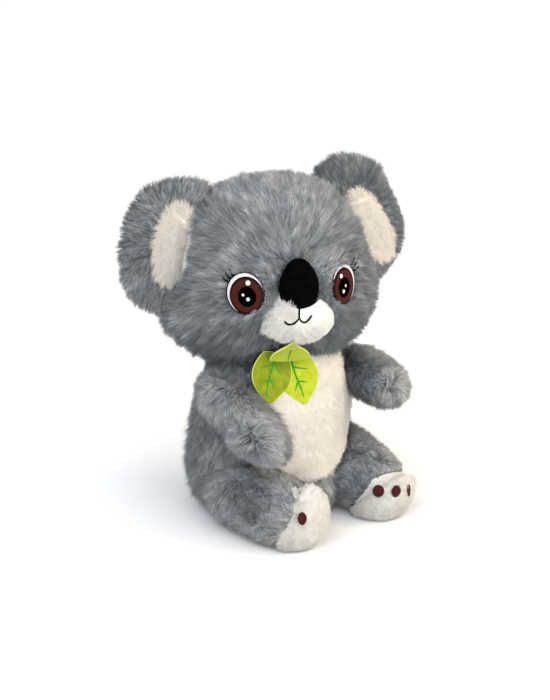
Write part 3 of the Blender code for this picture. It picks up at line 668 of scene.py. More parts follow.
class Part:
    """A piece of the toy that a coat grows on.

    Its methods say how the pile lies there. Each takes points on the cloth and the cloth's normals there,
    and gives one number or one vector for each point.
    """

    pile: Pile
    under: tuple[BVHTree, ...] = ()

    def density(self, spots: Rows, normals: Rows) -> Rows:
        """The share of the pile's density."""
        return np.ones(len(spots))

    def trim(self, spots: Rows, normals: Rows, heading: Rows) -> Rows:
        """The share of the pile's length, where heading is the way that it lies."""
        return np.ones(len(spots))

    def flow(self, spots: Rows, normals: Rows) -> Rows:
        """The way that the pile is brushed."""
        return np.broadcast_to(DOWN, spots.shape)

    def stand(self, spots: Rows, normals: Rows) -> Rows:
        """How many degrees more the pile stands up."""
        return np.zeros(len(spots))

    def painted_shading(self, spots: Rows, normals: Rows) -> Rows:
        """How much lighter or darker the pile's tone is painted here: painted light and painted shade."""
        return np.zeros(len(spots))

    def pressed(self, spots: Rows, normals: Rows) -> Rows:
        """The share of its height that the pile keeps under what lies on it."""
        height = self.pile.length * math.sin(math.radians(self.pile.lift))
        share = np.ones(len(spots))
        for tree in self.under:
            for index, (spot, normal) in enumerate(zip(spots, normals)):
                gap = tree.ray_cast(spot, normal, height + 1.5 * MM)[3]
                if gap is not None:
                    share[index] = min(share[index], max(0.0, (gap - 1.2 * MM) / height))
        return share

    def grow(self, skin: Skin, seed: int) -> Strands:
        """Grows the part's coat on a skin.

        Args:
            skin: the cloth that it grows on.
            seed: which of the random coats.

        Returns:
            The strands.
        """
        pile = self.pile
        roots, normals = skin.scatter(pile.per_mm2, self.density)
        heading = along_surface(self.flow(roots, normals) + 0.25 * drift(roots, 30 * MM, seed), normals)
        shares = self.trim(roots, normals, heading) * self.pressed(roots, normals)
        stays = shares > 0.10
        roots, normals, heading, shares = roots[stays], normals[stays], heading[stays], shares[stays]
        rng = np.random.default_rng(seed)
        count = len(roots)
        stride = max(1, round(pile.per_mm2 * (pile.tuft / MM) ** 2))
        locks = roots[rng.permutation(count)[: max(1, count // stride)]]
        tree = KDTree(len(locks))
        for index, place in enumerate(locks):
            tree.insert(place, index)
        tree.balance()
        lock = np.array([tree.find(root)[1] for root in roots])
        lean = rng.normal(size=(len(locks), 3)) * pile.stray
        tone, size = rng.normal(size=len(locks)), rng.normal(size=len(locks))
        heading = along_surface(heading + lean[lock] + rng.normal(size=(count, 3)) * pile.stray, normals)
        length = 1 + pile.uneven * (rng.random(count) - 0.6) + 0.3 * pile.uneven * size[lock]
        length = (pile.length * shares * length)[:, None]
        wild = rng.random(count) < pile.wild
        lift = rng.normal(size=count) * 7 + 5 * size[lock] + np.where(wild, 18, 0)
        lift = np.radians(pile.lift + lift + self.stand(roots, normals))[:, None]
        tips = roots + length * (np.cos(lift) * heading + np.sin(lift) * normals)
        members = np.maximum(np.bincount(lock, minlength=len(locks)), 1)[:, None]
        reach = np.zeros_like(locks)
        np.add.at(reach, lock, tips - roots)
        pull = pile.pull * np.where(wild, 0.2, rng.uniform(0.5, 1.2, count))[:, None]
        tips = tips + pull * ((locks + reach / members)[lock] - tips)
        tones = 0.5 + 0.16 * tone[lock] + 0.15 * rng.normal(size=count)
        # Tones differ at random, and each part adds its painted light and painted shade to them.
        tones += 0.10 * drift(roots, 22 * MM, seed + 1, 1)[:, 0] + self.painted_shading(roots, normals)
        widths = pile.width * rng.uniform(0.75, 1.25, count)
        return Strands(roots - 0.2 * MM * normals, tips, normals, widths, np.clip(tones, 0, 1))

    def dress(self, name: str, skin: Skin, body: str, finish: Finish, seed: int, panels: int = 1) -> None:
        """Grows the coat and adds it to the scene, cut into panels as the fabric is.

        Args:
            name: the first words of the panels' names.
            skin: the cloth that it grows on.
            body: the body that it rides on.
            finish: the pile.
            seed: which of the random coats.
            panels: how many pieces the coat is in.
        """
        strands = self.grow(skin, seed)
        spots = strands.roots - skin.middle
        around = np.argsort(np.arctan2(spots[:, 0], -spots[:, 1]))
        for number, chosen in enumerate(np.array_split(around, panels), start=1):
            label = name if panels == 1 else f"{name}_{number}"
            some = Strands(*(rows[chosen] for rows in strands))
            place_piece(STRAND.weave(label, some, self.pile.softness, finish), body, finish)
        log.info("%s: %d strands in %d panels", name, len(strands.tones), panels)


@dataclass
class Patch:
    """Where a panel lies: its middle, the way it faces, and its half sizes across and up.

    width is the share of its width that it is cut to at its middle, and slant how much less at its top.
    """

    middle: Rows
    across: Rows
    up: Rows
    out: Rows
    half_width: float = 0.0
    half_height: float = 0.0
    width: float = 1.0
    slant: float = 0.0

    @classmethod
    def of_node(cls, node: str, inside: Rows) -> "Patch":
        """Measures a CAD panel.

        Args:
            node: the panel's CAD node.
            inside: a point inside the form that the panel lies on.

        Returns:
            The patch, facing away from inside.
        """
        mesh = frame["nodes"][node].data
        points = read_rows(mesh.vertices, "co")
        normals = read_rows(mesh.polygons, "normal")
        areas = read_rows(mesh.polygons, "area", 1)
        middle = (points.min(0) + points.max(0)) / 2
        outer = (normals @ unit(middle - inside)) > 0.3
        out = unit((normals[outer] * areas[outer]).sum(0))
        up = unit(UP - out * out[2])
        patch = cls(middle, np.cross(up, out), up, out)
        local = patch.local(points)
        low, high = local.min(0), local.max(0)
        patch.middle = middle + patch.turn @ ((low + high) / 2)
        patch.half_width, patch.half_height = (high - low)[:2] / 2
        return patch

    @property
    def turn(self) -> Rows:
        """The patch's own axes as columns: across, up and out."""
        return np.stack((self.across, self.up, self.out), axis=1)

    @property
    def frame(self) -> Matrix:
        """The patch's frame: X across, Y up, Z out."""
        return Matrix.Translation(self.middle.tolist()) @ Matrix(self.turn.tolist()).to_4x4()

    def turned(self, degrees: float, shift: float) -> "Patch":
        """The patch turned about its upright, towards its across, and moved out along the form's normal."""
        angle = math.radians(degrees)
        out = math.cos(angle) * self.out + math.sin(angle) * self.across
        across = math.cos(angle) * self.across - math.sin(angle) * self.out
        return replace(self, middle=self.middle + self.out * shift, across=across, out=out)

    def local(self, spots: Rows) -> Rows:
        """Points as (across, up, out) of the patch."""
        return (spots - self.middle) @ self.turn

    def kept(self, level: Rows) -> Rows:
        """The share of its width that the panel is cut to at each height, less at the top by its slant."""
        return self.width - self.slant * np.clip(level / self.half_height, -0.5, 1)

    def beyond(self, spots: Rows) -> Rows:
        """How far each point lies outside the patch's ellipse, negative inside it."""
        place = self.local(spots)
        aside = self.half_width - (self.half_width - place[:, 0]) / self.kept(place[:, 1])
        ring = np.hypot(aside / self.half_width, place[:, 1] / self.half_height)
        return (ring - 1) * min(self.half_width, self.half_height)

    def near(self, spots: Rows, low: float, high: float) -> Rows:
        """1 up to low mm outside the patch's edge, and 0 from high mm on."""
        return 1 - ease_mm(self.beyond(spots), low, high)

    def brushed(self, spots: Rows, way: Rows) -> Rows:
        """How a panel's plush is brushed: one way all over, and outwards at the rim."""
        rim = ease_mm(self.beyond(spots), -7, -1)[:, None]
        return unit(way) + 1.6 * rim * unit(spots - self.middle)


def soft_disc(radius: float, base: float, top: float, segments: int = 56) -> bmesh.types.BMesh:
    """A flat round field of stitches, closed, with a rounded rim.

    Args:
        radius: its radius.
        base: the height of its underside.
        top: the height of its face.
        segments: the steps round it.

    Returns:
        The field, with a Stitch map of the way round and the way out.
    """
    bm = bmesh.new()
    bmesh.ops.create_circle(bm, cap_ends=True, segments=segments, radius=radius)
    corners, cap = raised_items(bm)
    bmesh.ops.translate(bm, vec=(0, 0, top - base), verts=corners)
    bmesh.ops.translate(bm, vec=(0, 0, base), verts=bm.verts)
    rim = min(0.25 * radius, 0.35 * MM)
    for step in (rim * 0.4, rim * 0.6, radius * 0.15, radius * 0.2, radius * 0.25):
        bmesh.ops.inset_region(bm, faces=cap, thickness=step, use_even_offset=True)
    bmesh.ops.poke(bm, faces=cap)
    for vert in bm.verts:
        if vert.co.z > (base + top) / 2:
            ring = min(1.0, math.hypot(vert.co.x, vert.co.y) / radius)
            edge = max(0.0, 1 - (1 - ring) * radius / rim)
            vert.co.z = top - 0.7 * (top - base) * edge**2
    bmesh.ops.recalc_face_normals(bm, faces=bm.faces)
    stitch = bm.loops.layers.uv.new(STITCH_MAP)
    for face in bm.faces:
        middle = face.calc_center_median()
        turn = math.atan2(middle.y, middle.x)
        for loop in face.loops:
            place = loop.vert.co
            ring = math.hypot(place.x, place.y)
            angle = math.atan2(place.y, place.x) if ring > 0.01 * radius else turn
            angle += 2 * math.pi * round((turn - angle) / (2 * math.pi))
            loop[stitch].uv = (0.5 + angle / (2 * math.pi), ring / radius)
    return bm


def thread_line(
    name: str, lines: Sequence[Sequence[tuple[Vector, float]]], finish: Finish
) -> bpy.types.Object:
    """Makes round threads, as one piece with closed ends.

    Args:
        name: the piece's name.
        lines: each thread's points, with its radius there.
        finish: what they are made of.

    Returns:
        The piece.
    """
    curve = bpy.data.curves.new(name, "CURVE")
    curve.dimensions = "3D"
    curve.bevel_depth = 1.0
    curve.bevel_resolution = 2
    curve.use_fill_caps = True
    for line in lines:
        spline = curve.splines.new("POLY")
        spline.points.add(len(line) - 1)
        for knot, (place, radius) in zip(spline.points, line):
            knot.co = (*place, 1)
            knot.radius = radius
    piece = settle(link_piece(name, curve))
    piece.data.materials.clear()
    piece.data.materials.append(finish.material)
    piece.data.shade_smooth()
    return piece


@dataclass
class Head(Part):
    """The head: its skin, its long coat and everything on the face."""

    ears: tuple[Skin, ...]
    under: tuple[BVHTree, ...]
    pile: Pile = GREY_PILE

    def __post_init__(self) -> None:
        """Makes the skin and measures the face's panels on it."""
        self.skin = Skin("head_skin", "head_stuffing", Finish.GREY_BACKING, 2.6, 14)
        self.centre = self.skin.middle
        panels = (Patch.of_node(node, self.centre) for node in ("nose", "muzzle", "leaf_top"))
        self.nose, self.muzzle, self.leaf = panels
        self.eyes = {}
        for side, (nearer, higher) in EYE_SHIFTS.items():
            eye = Patch.of_node(f"eye_{side.value}_outline", self.centre)
            eye = eye.turned(side.sign * EYE_TURN, 0.2 * MM)
            eye.middle = eye.middle - side.sign * nearer * eye.across + higher * eye.up
            self.eyes[side] = eye
        self.face = unit(self.nose.out * (1, 1, 0))
        self.aside = np.cross(UP, self.face)
        self.fill_out()

    def places(self, spots: Rows) -> tuple[Rows, Rows, Rows]:
        """How far each point lies ahead of the head's middle, to the left of it and above it."""
        return tuple((spots - self.centre) @ axis for axis in (self.face, self.aside, UP))

    def fill_out(self) -> None:
        """Packs the right cheek fuller and the left one less, and makes a bed for each eye."""
        ahead, left, level = self.places(self.skin.points)
        cheek = self.right_cheek(left, level) * (1 - ease_mm(ahead, 5, 40))
        crown = ease_mm(level, 35, 62)
        other = ease_mm(left, 30, 65) * (1 - ease_mm(np.abs(level), 30, 60))
        amount = 4.5 * MM * cheek - 0.8 * MM * crown - 2.5 * MM * other
        amount = amount - 3.0 * MM * self.by_ear(self.skin.points)
        self.skin.push(amount[:, None] * self.skin.normals)
        for eye in self.eyes.values():
            depth = eye.local(self.skin.points)[:, 2]
            near = eye.near(self.skin.points, 0.5, 9) * (np.abs(depth) < 14 * MM)
            self.skin.push((near * (-0.8 * MM - depth))[:, None] * eye.out)

    def right_cheek(self, left: Rows, level: Rows) -> Rows:
        """How far down each point lies in the right cheek, from 0 to 1."""
        return ease_mm(-left, 20, 60) * ease_mm(-level, 0, 35)

    def by_ear(self, spots: Rows) -> Rows:
        """How near each point lies to the right ear's root, from 0 to 1."""
        return 1 - ease_mm(np.linalg.norm(spots - joint_place("ear_right_fold"), axis=1), 20, 46)

    def density(self, spots: Rows, normals: Rows) -> Rows:
        """Nothing under the eyes, the nose and the muzzle, and little under the neck."""
        ahead, _, _ = self.places(spots)
        share = np.ones(len(spots))
        for eye in self.eyes.values():
            share[(eye.beyond(spots) < -1.0 * MM) & (np.abs(eye.local(spots)[:, 2]) < 12 * MM)] = 0
        for patch, within in ((self.nose, -2.0 * MM), (self.muzzle, -4.0 * MM)):
            share[(ahead > 10 * MM) & (patch.beyond(spots) < within)] = 0
        share[(normals[:, 2] < -0.9) & (np.hypot(*(spots - self.centre)[:, :2].T) < 36 * MM)] = 0
        return share * (1 - 0.18 * ease_mm(-ahead, 0, 40))

    def trim(self, spots: Rows, normals: Rows, heading: Rows) -> Rows:
        """Shorter round the eyes and the nose and behind the small leaf."""
        share = np.ones(len(spots))
        for eye in self.eyes.values():
            near = eye.near(spots, 0, 9) * (np.abs(eye.local(spots)[:, 2]) < 16 * MM)
            toward = np.clip((heading * unit(eye.middle - spots)).sum(1) + 0.2, 0, 1)
            share *= 1 - near * (0.42 + 0.40 * toward)
        ahead, left, level = self.places(spots)
        place = self.leaf.local(spots)
        behind = 1 - ease(np.hypot(place[:, 0] / 18, place[:, 1] / 14) / MM, 0.8, 1.3)
        front = (1 - 0.55 * self.nose.near(spots, 0, 8)) * (1 - 0.65 * behind)
        share *= np.where(ahead > 0, front, 1)
        share *= 1 - 0.25 * ease_mm(level, 30, 60) - 0.15 * ease_mm(left, 30, 60)
        return share * (1 - 0.35 * self.by_ear(spots)) * (1 + 0.2 * self.right_cheek(left, level))

    def painted_shading(self, spots: Rows, normals: Rows) -> Rows:
        """Painted shade under the chin, in the creases by the ears and on the left side, and painted light on
        the crown.
        """
        _, left, level = self.places(spots)
        below = ease(-normals[:, 2], 0, 0.6) * ease_mm(-level, 10, 40)
        crease = sum(1 - ease_mm(ear.gap(spots), 2, 9) for ear in self.ears)
        crown, other = ease_mm(level, 30, 60), ease_mm(left, 8, 50)
        return 0.16 * crown - 0.16 - 0.36 * below - 0.24 * other - 0.45 * crease

    def stand(self, spots: Rows, normals: Rows) -> Rows:
        """Upright between the nose and each eye, so that the pile stands against the embroidery."""
        more = np.zeros(len(spots))
        for side, eye in self.eyes.items():
            more += 18 * ease_mm(eye.local(spots)[:, 0] * -side.sign, 0, 12) * eye.near(spots, 0, 8)
        return more

    def flow(self, spots: Rows, normals: Rows) -> Rows:
        """Away from the nose all round, and down at the back and beside the right ear."""
        back = ease_mm(-self.places(spots)[0], 0, 55)[:, None]
        beside = self.by_ear(spots)[:, None]
        away = unit(spots - self.nose.middle) * (1 - 0.75 * beside)
        return away + DOWN * (0.10 + 1.1 * back + 0.9 * beside)

    def build(self) -> None:
        """Adds the head's skin, its coat, the eyes, the nose and the muzzle."""
        self.skin.place("head", "head_cover", "head_stuffing", fill=0.9)
        self.dress("head_fur", self.skin, "head", Finish.GREY_PILE, 11, 4)
        for side, eye in self.eyes.items():
            Eye(side, eye, self.skin).build()
        self.build_nose()
        Muzzle(self, self.under).build()

    def build_nose(self) -> None:
        """Adds the nose: a stuffed egg of velour that stands clear of the muzzle's pile."""
        patch = self.nose
        shift = patch.out * 2.6 * MM - patch.across * 1.7 * MM + patch.up * 1.2 * MM
        nose = Skin("nose_velour", "nose", Finish.BLACK_VELOUR, 1.0, 6, shift)
        nose.stretch(patch.middle, patch.across, 1.04)
        nose.stretch(patch.middle, patch.up, 1.05)
        nose.place("head", "nose", fill=1.0)
        log.info("nose")


@dataclass
class Eye:
    """One embroidered eye: its outline, white, iris, pupil, glints and lashes, in its bed on the head."""

    side: Side
    patch: Patch
    skin: Skin
    radius: float = 14.4 * MM
    outline: float = 0.95 * MM
    iris: float = 12.6 * MM
    iris_shift: tuple[float, float] = (1.30 * MM, -1.25 * MM)
    pupil_shift: tuple[float, float] = (0.8 * MM, -0.6 * MM)
    pupil: float = 6.8 * MM
    layer: float = 0.25 * MM
    dome: float = 1.2 * MM
    narrow: float = 0.96

    def field(
        self, name: str, place: tuple[float, float], radius: float, level: int, finish: Finish, node: str = ""
    ) -> None:
        """Adds one round field of stitches.

        Args:
            name: the piece's last words.
            place: its middle from the eye's, inwards and up.
            radius: its radius.
            level: which layer it is, from the cloth up.
            finish: its thread.
            node: the last word of the CAD field that it replaces.
        """
        bm = soft_disc(radius, (level - 0.5) * self.layer, (level + 1.2) * self.layer)
        spot = self.patch.frame
        out = spot.to_3x3() @ Vector((0, 0, 1))
        for vert in bm.verts:
            x, y, z = vert.co.x - self.side.sign * place[0], vert.co.y + place[1], vert.co.z
            dome = self.dome * max(0.0, 1 - (x**2 + y**2) / self.radius**2)
            vert.co = spot @ Vector((x * self.narrow, y, z + dome))
            if level == 0 and z < 0:
                hit = self.skin.tree.ray_cast(vert.co + out * 10 * MM, -out, 0.05)[0]
                vert.co = hit - out * 0.3 * MM if hit else vert.co
        piece = mesh_piece(f"eye_{self.side.value}_{name}", bm, finish.material)
        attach(piece, "head")
        if node:
            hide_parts(f"eye_{self.side.value}_{node}")

    def build(self) -> None:
        """Adds the fields, the glints and the lashes."""
        middle, shift = (0.0, 0.0), self.iris_shift
        self.field("outline_stitch", middle, self.radius, 0, Finish.DARK_THREAD, "outline")
        self.field("white_stitch", middle, self.radius - self.outline, 1, Finish.WHITE_THREAD, "white")
        self.field("iris_rim", shift, self.iris + 0.1 * MM, 2, Finish.DARK_THREAD)
        self.field("iris_stitch", shift, self.iris - 0.5 * MM, 3, Finish.BROWN_THREAD, "iris")
        shift = (shift[0] + self.pupil_shift[0], shift[1] + self.pupil_shift[1])
        self.field("pupil_stitch", shift, self.pupil, 4, Finish.BLACK_THREAD, "pupil")
        for number, (inward, up, radius) in enumerate(GLINTS[self.side], start=1):
            place = (shift[0] + inward * MM, shift[1] + up * MM)
            self.field(f"glint_{number}", place, radius * MM, 5, Finish.WHITE_THREAD)
        self.build_lashes()
        log.info("eye %s", self.side.value)

    def build_lashes(self) -> None:
        """Adds three curved lashes at the eye's outer upper corner."""
        sign, steps, lines = self.side.sign, 7, []
        for angle, length in LASHES:
            turn = math.radians(angle)
            away = Vector((sign * math.sin(turn), math.cos(turn), 0))
            line = []
            for share in (step / steps for step in range(steps + 1)):
                bend = Vector((-sign * 0.25 * share**2, 0.25 * share**2, 0)) * length * MM
                spot = away * (self.radius - 0.4 * MM + length * MM * share) + bend
                spot.z = (0.9 + 3.0 * share) * MM
                line.append((self.patch.frame @ spot, (0.75 - 0.50 * share) * MM))
            lines.append(line)
        lashes = thread_line(f"eye_{self.side.value}_lashes", lines, Finish.DARK_THREAD)
        place_piece(lashes, "head", Finish.DARK_THREAD)


@dataclass
class Muzzle(Part):
    """The white muzzle under the nose, and the mouth stitched on it."""

    head: Head
    under: tuple[BVHTree, ...]
    pile: Pile = MUZZLE_PILE
    thread: float = 0.62 * MM

    def __post_init__(self) -> None:
        """Makes the muzzle's skin and measures its stitches."""
        self.skin = Skin("muzzle_skin", "muzzle", Finish.WHITE_BACKING, 1.2, 6)
        self.mouth, self.lip = (Patch.of_node(node, self.head.centre) for node in MOUTH_KNOTS)

    def density(self, spots: Rows, normals: Rows) -> Rows:
        """On the front only, and clear of the nose."""
        share = ease(normals @ self.head.muzzle.out, -0.15, 0.15)
        share[self.head.nose.beyond(spots) < 0.4 * MM] = 0
        return share

    def trim(self, spots: Rows, normals: Rows, heading: Rows) -> Rows:
        """Pressed short along the mouth's stitches, at the nose and behind the small leaf."""
        share = np.ones(len(spots))
        for stitch in (self.mouth, self.lip):
            share *= 1 - 0.72 * stitch.near(spots, 0, 5)
        rim = ease_mm(self.head.muzzle.beyond(spots), -9, -1)
        aside, level = self.head.muzzle.local(spots)[:, :2].T
        share *= 1 - rim * np.clip(ease_mm(aside, -2, 14) * 0.85 + ease_mm(-level, 0, 10) * 0.65, 0, 0.8)
        share *= 1 + 0.5 * rim * ease_mm(-aside, 4, 14)
        place = self.head.leaf.local(spots)[:, :2] / MM
        share *= 0.2 + 0.8 * ease(np.hypot(place[:, 0], place[:, 1] - 7), 5, 12)
        return np.maximum(share * (1 - 0.70 * self.head.nose.near(spots, 0, 9)), 1.5 * self.tufts(spots))

    def flow(self, spots: Rows, normals: Rows) -> Rows:
        """Away from the foot of the nose, except for the tufts that close over its edge."""
        nose = self.head.nose
        foot = nose.middle - nose.up * nose.half_height * 0.7
        tufts = self.tufts(spots)[:, None]
        return (1 - tufts) * (unit(spots - foot) + 0.15 * DOWN) + tufts * (nose.across + 1.2 * nose.up)

    def tufts(self, spots: Rows) -> Rows:
        """Where the pile closes over the nose's lower edge, on its right side."""
        aside, level = self.head.nose.local(spots)[:, :2].T
        return self.head.nose.near(spots, 3, 8) * ease_mm(-aside, 4, 8) * ease_mm(-level, -3, 2)

    def stand(self, spots: Rows, normals: Rows) -> Rows:
        """The tufts stand up."""
        return 22 * self.tufts(spots)

    def build(self) -> None:
        """Adds the muzzle, its coat, and the mouth's arcs and its upright stitch, pressed into the pile."""
        self.skin.place("head", "muzzle", fill=0.8)
        self.dress("muzzle_fur", self.skin, "head", Finish.WHITE_PILE, 21)
        start = self.mouth.up * (self.mouth.half_height - 1.0 * MM)
        place = Matrix.Translation(start.tolist()) @ self.mouth.frame
        for node, knots in MOUTH_KNOTS.items():
            line = []
            for across, up in knots:
                high = place @ Vector((across * MM, up * MM, 20 * MM))
                hit, normal, _, _ = self.skin.tree.ray_cast(high, Vector(-self.mouth.out), 0.05)
                if hit:
                    line.append((hit + normal * 1.3 * MM, self.thread))
            thread = thread_line(f"{node}_thread", [line], Finish.BLACK_THREAD)
            place_piece(thread, "head", Finish.BLACK_THREAD, node)
        log.info("muzzle and mouth")


@dataclass
class Ear(Part):
    """One ear: grey pile all round, and a cream lining in the cup of its front.

    nearer is how far it moves to the head, opened how far its lining moves inwards, and wider how much
    fuller its upper inner side is.
    """

    side: Side
    seed: int
    # How much darker the ear's pile tone is painted: painted shade.
    shade: float
    nearer: float
    opened: float = 0.0
    wider: float = 0.0
    pile: Pile = EAR_PILE

    def __post_init__(self) -> None:
        """Makes the ear's skin, measures its lining and packs its upper inner side wide."""
        self.name = f"ear_{self.side.value}"
        middle = (np.array(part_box("head_cover")[0]) + np.array(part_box("head_cover")[1])) / 2
        self.root = joint_place(f"{self.name}_fold")
        self.shift = unit((middle - self.root) * (1, 1, 0)) * self.nearer
        backing = Finish.GREY_BACKING
        self.skin = Skin(f"{self.name}_skin", f"{self.name}_padding", backing, 2.2, 8, self.shift)
        self.lining = Patch.of_node(f"{self.name}_lining", self.skin.middle)
        self.inward = -self.side.sign * self.lining.across
        self.lining.middle = self.lining.middle + self.shift + self.inward * self.opened
        place = self.skin.points - self.skin.middle
        inner = ease_mm(place @ self.inward, 2, 20) * ease_mm(place @ self.lining.up, 0, 25)
        self.skin.push((inner * self.wider)[:, None] * self.inward)

    def density(self, spots: Rows, normals: Rows) -> Rows:
        """Nothing under the lining."""
        return np.where((normals @ self.lining.out > 0) & (self.lining.beyond(spots) < -4.0 * MM), 0.0, 1.0)

    def trim(self, spots: Rows, normals: Rows, heading: Rows) -> Rows:
        """A little shorter beside the lining and at the root, and on the left ear's outer side."""
        near = np.where(normals @ self.lining.out > 0, self.lining.near(spots, 0, 7), 0)
        root = 1 - ease_mm(np.linalg.norm(spots - self.root, axis=1), 12, 24)
        outer = ease_mm(-(spots - self.skin.middle) @ self.inward, 8, 24) if self.side is Side.LEFT else 0.0
        return (1 - 0.35 * near) * (1 - 0.3 * root) * (1 - 0.45 * outer)

    def painted_shading(self, spots: Rows, normals: Rows) -> Rows:
        """Painted shade: darker than the head, and most in the crease by the head."""
        return self.shade - 0.40 * (1 - ease_mm(self.head.gap(spots), 2, 8))

    def flow(self, spots: Rows, normals: Rows) -> Rows:
        """Outwards from the lining in front, and from the root behind."""
        front = ease(normals @ self.lining.out, -0.4, 0.4)[:, None]
        return front * unit(spots - self.lining.middle) + (1 - front) * unit(spots - self.root)

    def build(self, head: Skin) -> None:
        """Adds the ear's skin, its coat and its lining, beside the head's skin."""
        self.head = head
        self.skin.place(self.name, f"{self.name}_cover", f"{self.name}_padding", fill=0.6)
        self.dress(f"{self.name}_fur", self.skin, self.name, Finish.GREY_PILE, self.seed)
        brushed, shift = DOWN - 0.4 * self.inward, tuple(self.shift + self.inward * self.opened)
        panel = PlushPanel(
            f"{self.name}_lining", self.name, self.skin.middle, LINING_PILE, brushed, shift=shift
        )
        panel.build(Finish.CREAM_BACKING, Finish.LINING_PILE, self.seed + 2)


@dataclass
class PlushPanel(Part):
    """A panel of short plush sewn over a stuffed form: the belly, a sole or an ear's lining."""

    node: str
    body: str
    inside: Rows
    pile: Pile
    brushed: Rows
    under: tuple[BVHTree, ...] = ()
    shift: tuple[float, float, float] = (0, 0, 0)
    cut: tuple[float, float] = (1.0, 0.0)

    def density(self, spots: Rows, normals: Rows) -> Rows:
        """On the panel's outside only."""
        return ease((normals * unit(spots - self.inside)).sum(1), 0.1, 0.4)

    def flow(self, spots: Rows, normals: Rows) -> Rows:
        """One way all over, and outwards at the rim."""
        return self.patch.brushed(spots, self.brushed)

    def trim(self, spots: Rows, normals: Rows, heading: Rows) -> Rows:
        """Longer at the rim, where the shears don't reach."""
        return 1 + 0.5 * ease_mm(self.patch.beyond(spots), -5, -1)

    def build(self, backing: Finish, finish: Finish, seed: int) -> None:
        """Adds the panel and its coat.

        Args:
            backing: the panel's own cloth.
            finish: its pile.
            seed: which of the random coats.
        """
        skin = Skin(f"{self.node}_cloth", self.node, backing, 0.9, 5, self.shift)
        self.patch = Patch.of_node(self.node, self.inside)
        self.patch.middle = self.patch.middle + np.array(self.shift)
        self.patch.width, self.patch.slant = self.cut
        place = self.patch.local(skin.points)
        lost = (1 - self.patch.kept(place[:, 1])) * (self.patch.half_width - place[:, 0])
        skin.push(lost[:, None] * self.patch.across)
        skin.place(self.body, self.node, fill=0.7)
        self.dress(f"{self.node}_plush", skin, self.body, finish, seed)


@dataclass
class Torso(Part):
    """The body: its skin, its coat and the belly panel."""

    pile: Pile = GREY_PILE

    def __post_init__(self) -> None:
        """Makes the skin, measures the belly, and packs the back slim above and full at the seat."""
        self.skin = Skin("body_skin", "body_stuffing", Finish.GREY_BACKING, 2.6, 12)
        self.belly = Patch.of_node("belly_panel", self.skin.middle)
        _, y, z = self.skin.points.T
        low = ease_mm(z, 6, 20) * (1 - ease_mm(z, 36, 62))
        amount = (-7.0 * MM * ease_mm(z, 62, 104) + 2.5 * MM * low) * (1 - ease_mm(-y, 20, 42))
        self.skin.push(amount[:, None] * unit(self.skin.normals * (1, 1, 0)))

    def density(self, spots: Rows, normals: Rows) -> Rows:
        """Nothing under the belly panel, on the neck's flat or deep under the seat."""
        share = np.ones(len(spots))
        share[(spots[:, 1] < -10 * MM) & (self.belly.beyond(spots) < -2.5 * MM)] = 0
        middle = np.hypot(*(spots - self.skin.middle)[:, :2].T)
        share[(np.abs(normals[:, 2]) > 0.9) & (middle < 30 * MM)] = 0
        return share

    def trim(self, spots: Rows, normals: Rows, heading: Rows) -> Rows:
        """A little shorter where it meets the belly's plush."""
        near = np.where(spots[:, 1] < 0, self.belly.near(spots, 0, 8), 0)
        return (1 - 0.35 * near) * (1 - 0.3 * ease_mm(spots[:, 2], 60, 100))

    def flow(self, spots: Rows, normals: Rows) -> Rows:
        """Down, and a little forward."""
        return np.broadcast_to(DOWN + np.array((0, -0.25, 0)), spots.shape)

    def build(self, leaves: tuple[BVHTree, ...]) -> None:
        """Adds the body's skin, its coat, and the belly pressed under the leaves."""
        self.skin.place("torso", "body_cover", "body_stuffing", fill=0.9)
        self.dress("body_fur", self.skin, "torso", Finish.GREY_PILE, 41, 3)
        belly = PlushPanel("belly_panel", "torso", self.skin.middle, SHORT_PLUSH, DOWN, leaves)
        belly.build(Finish.CREAM_BACKING, Finish.CREAM_PILE, 45)


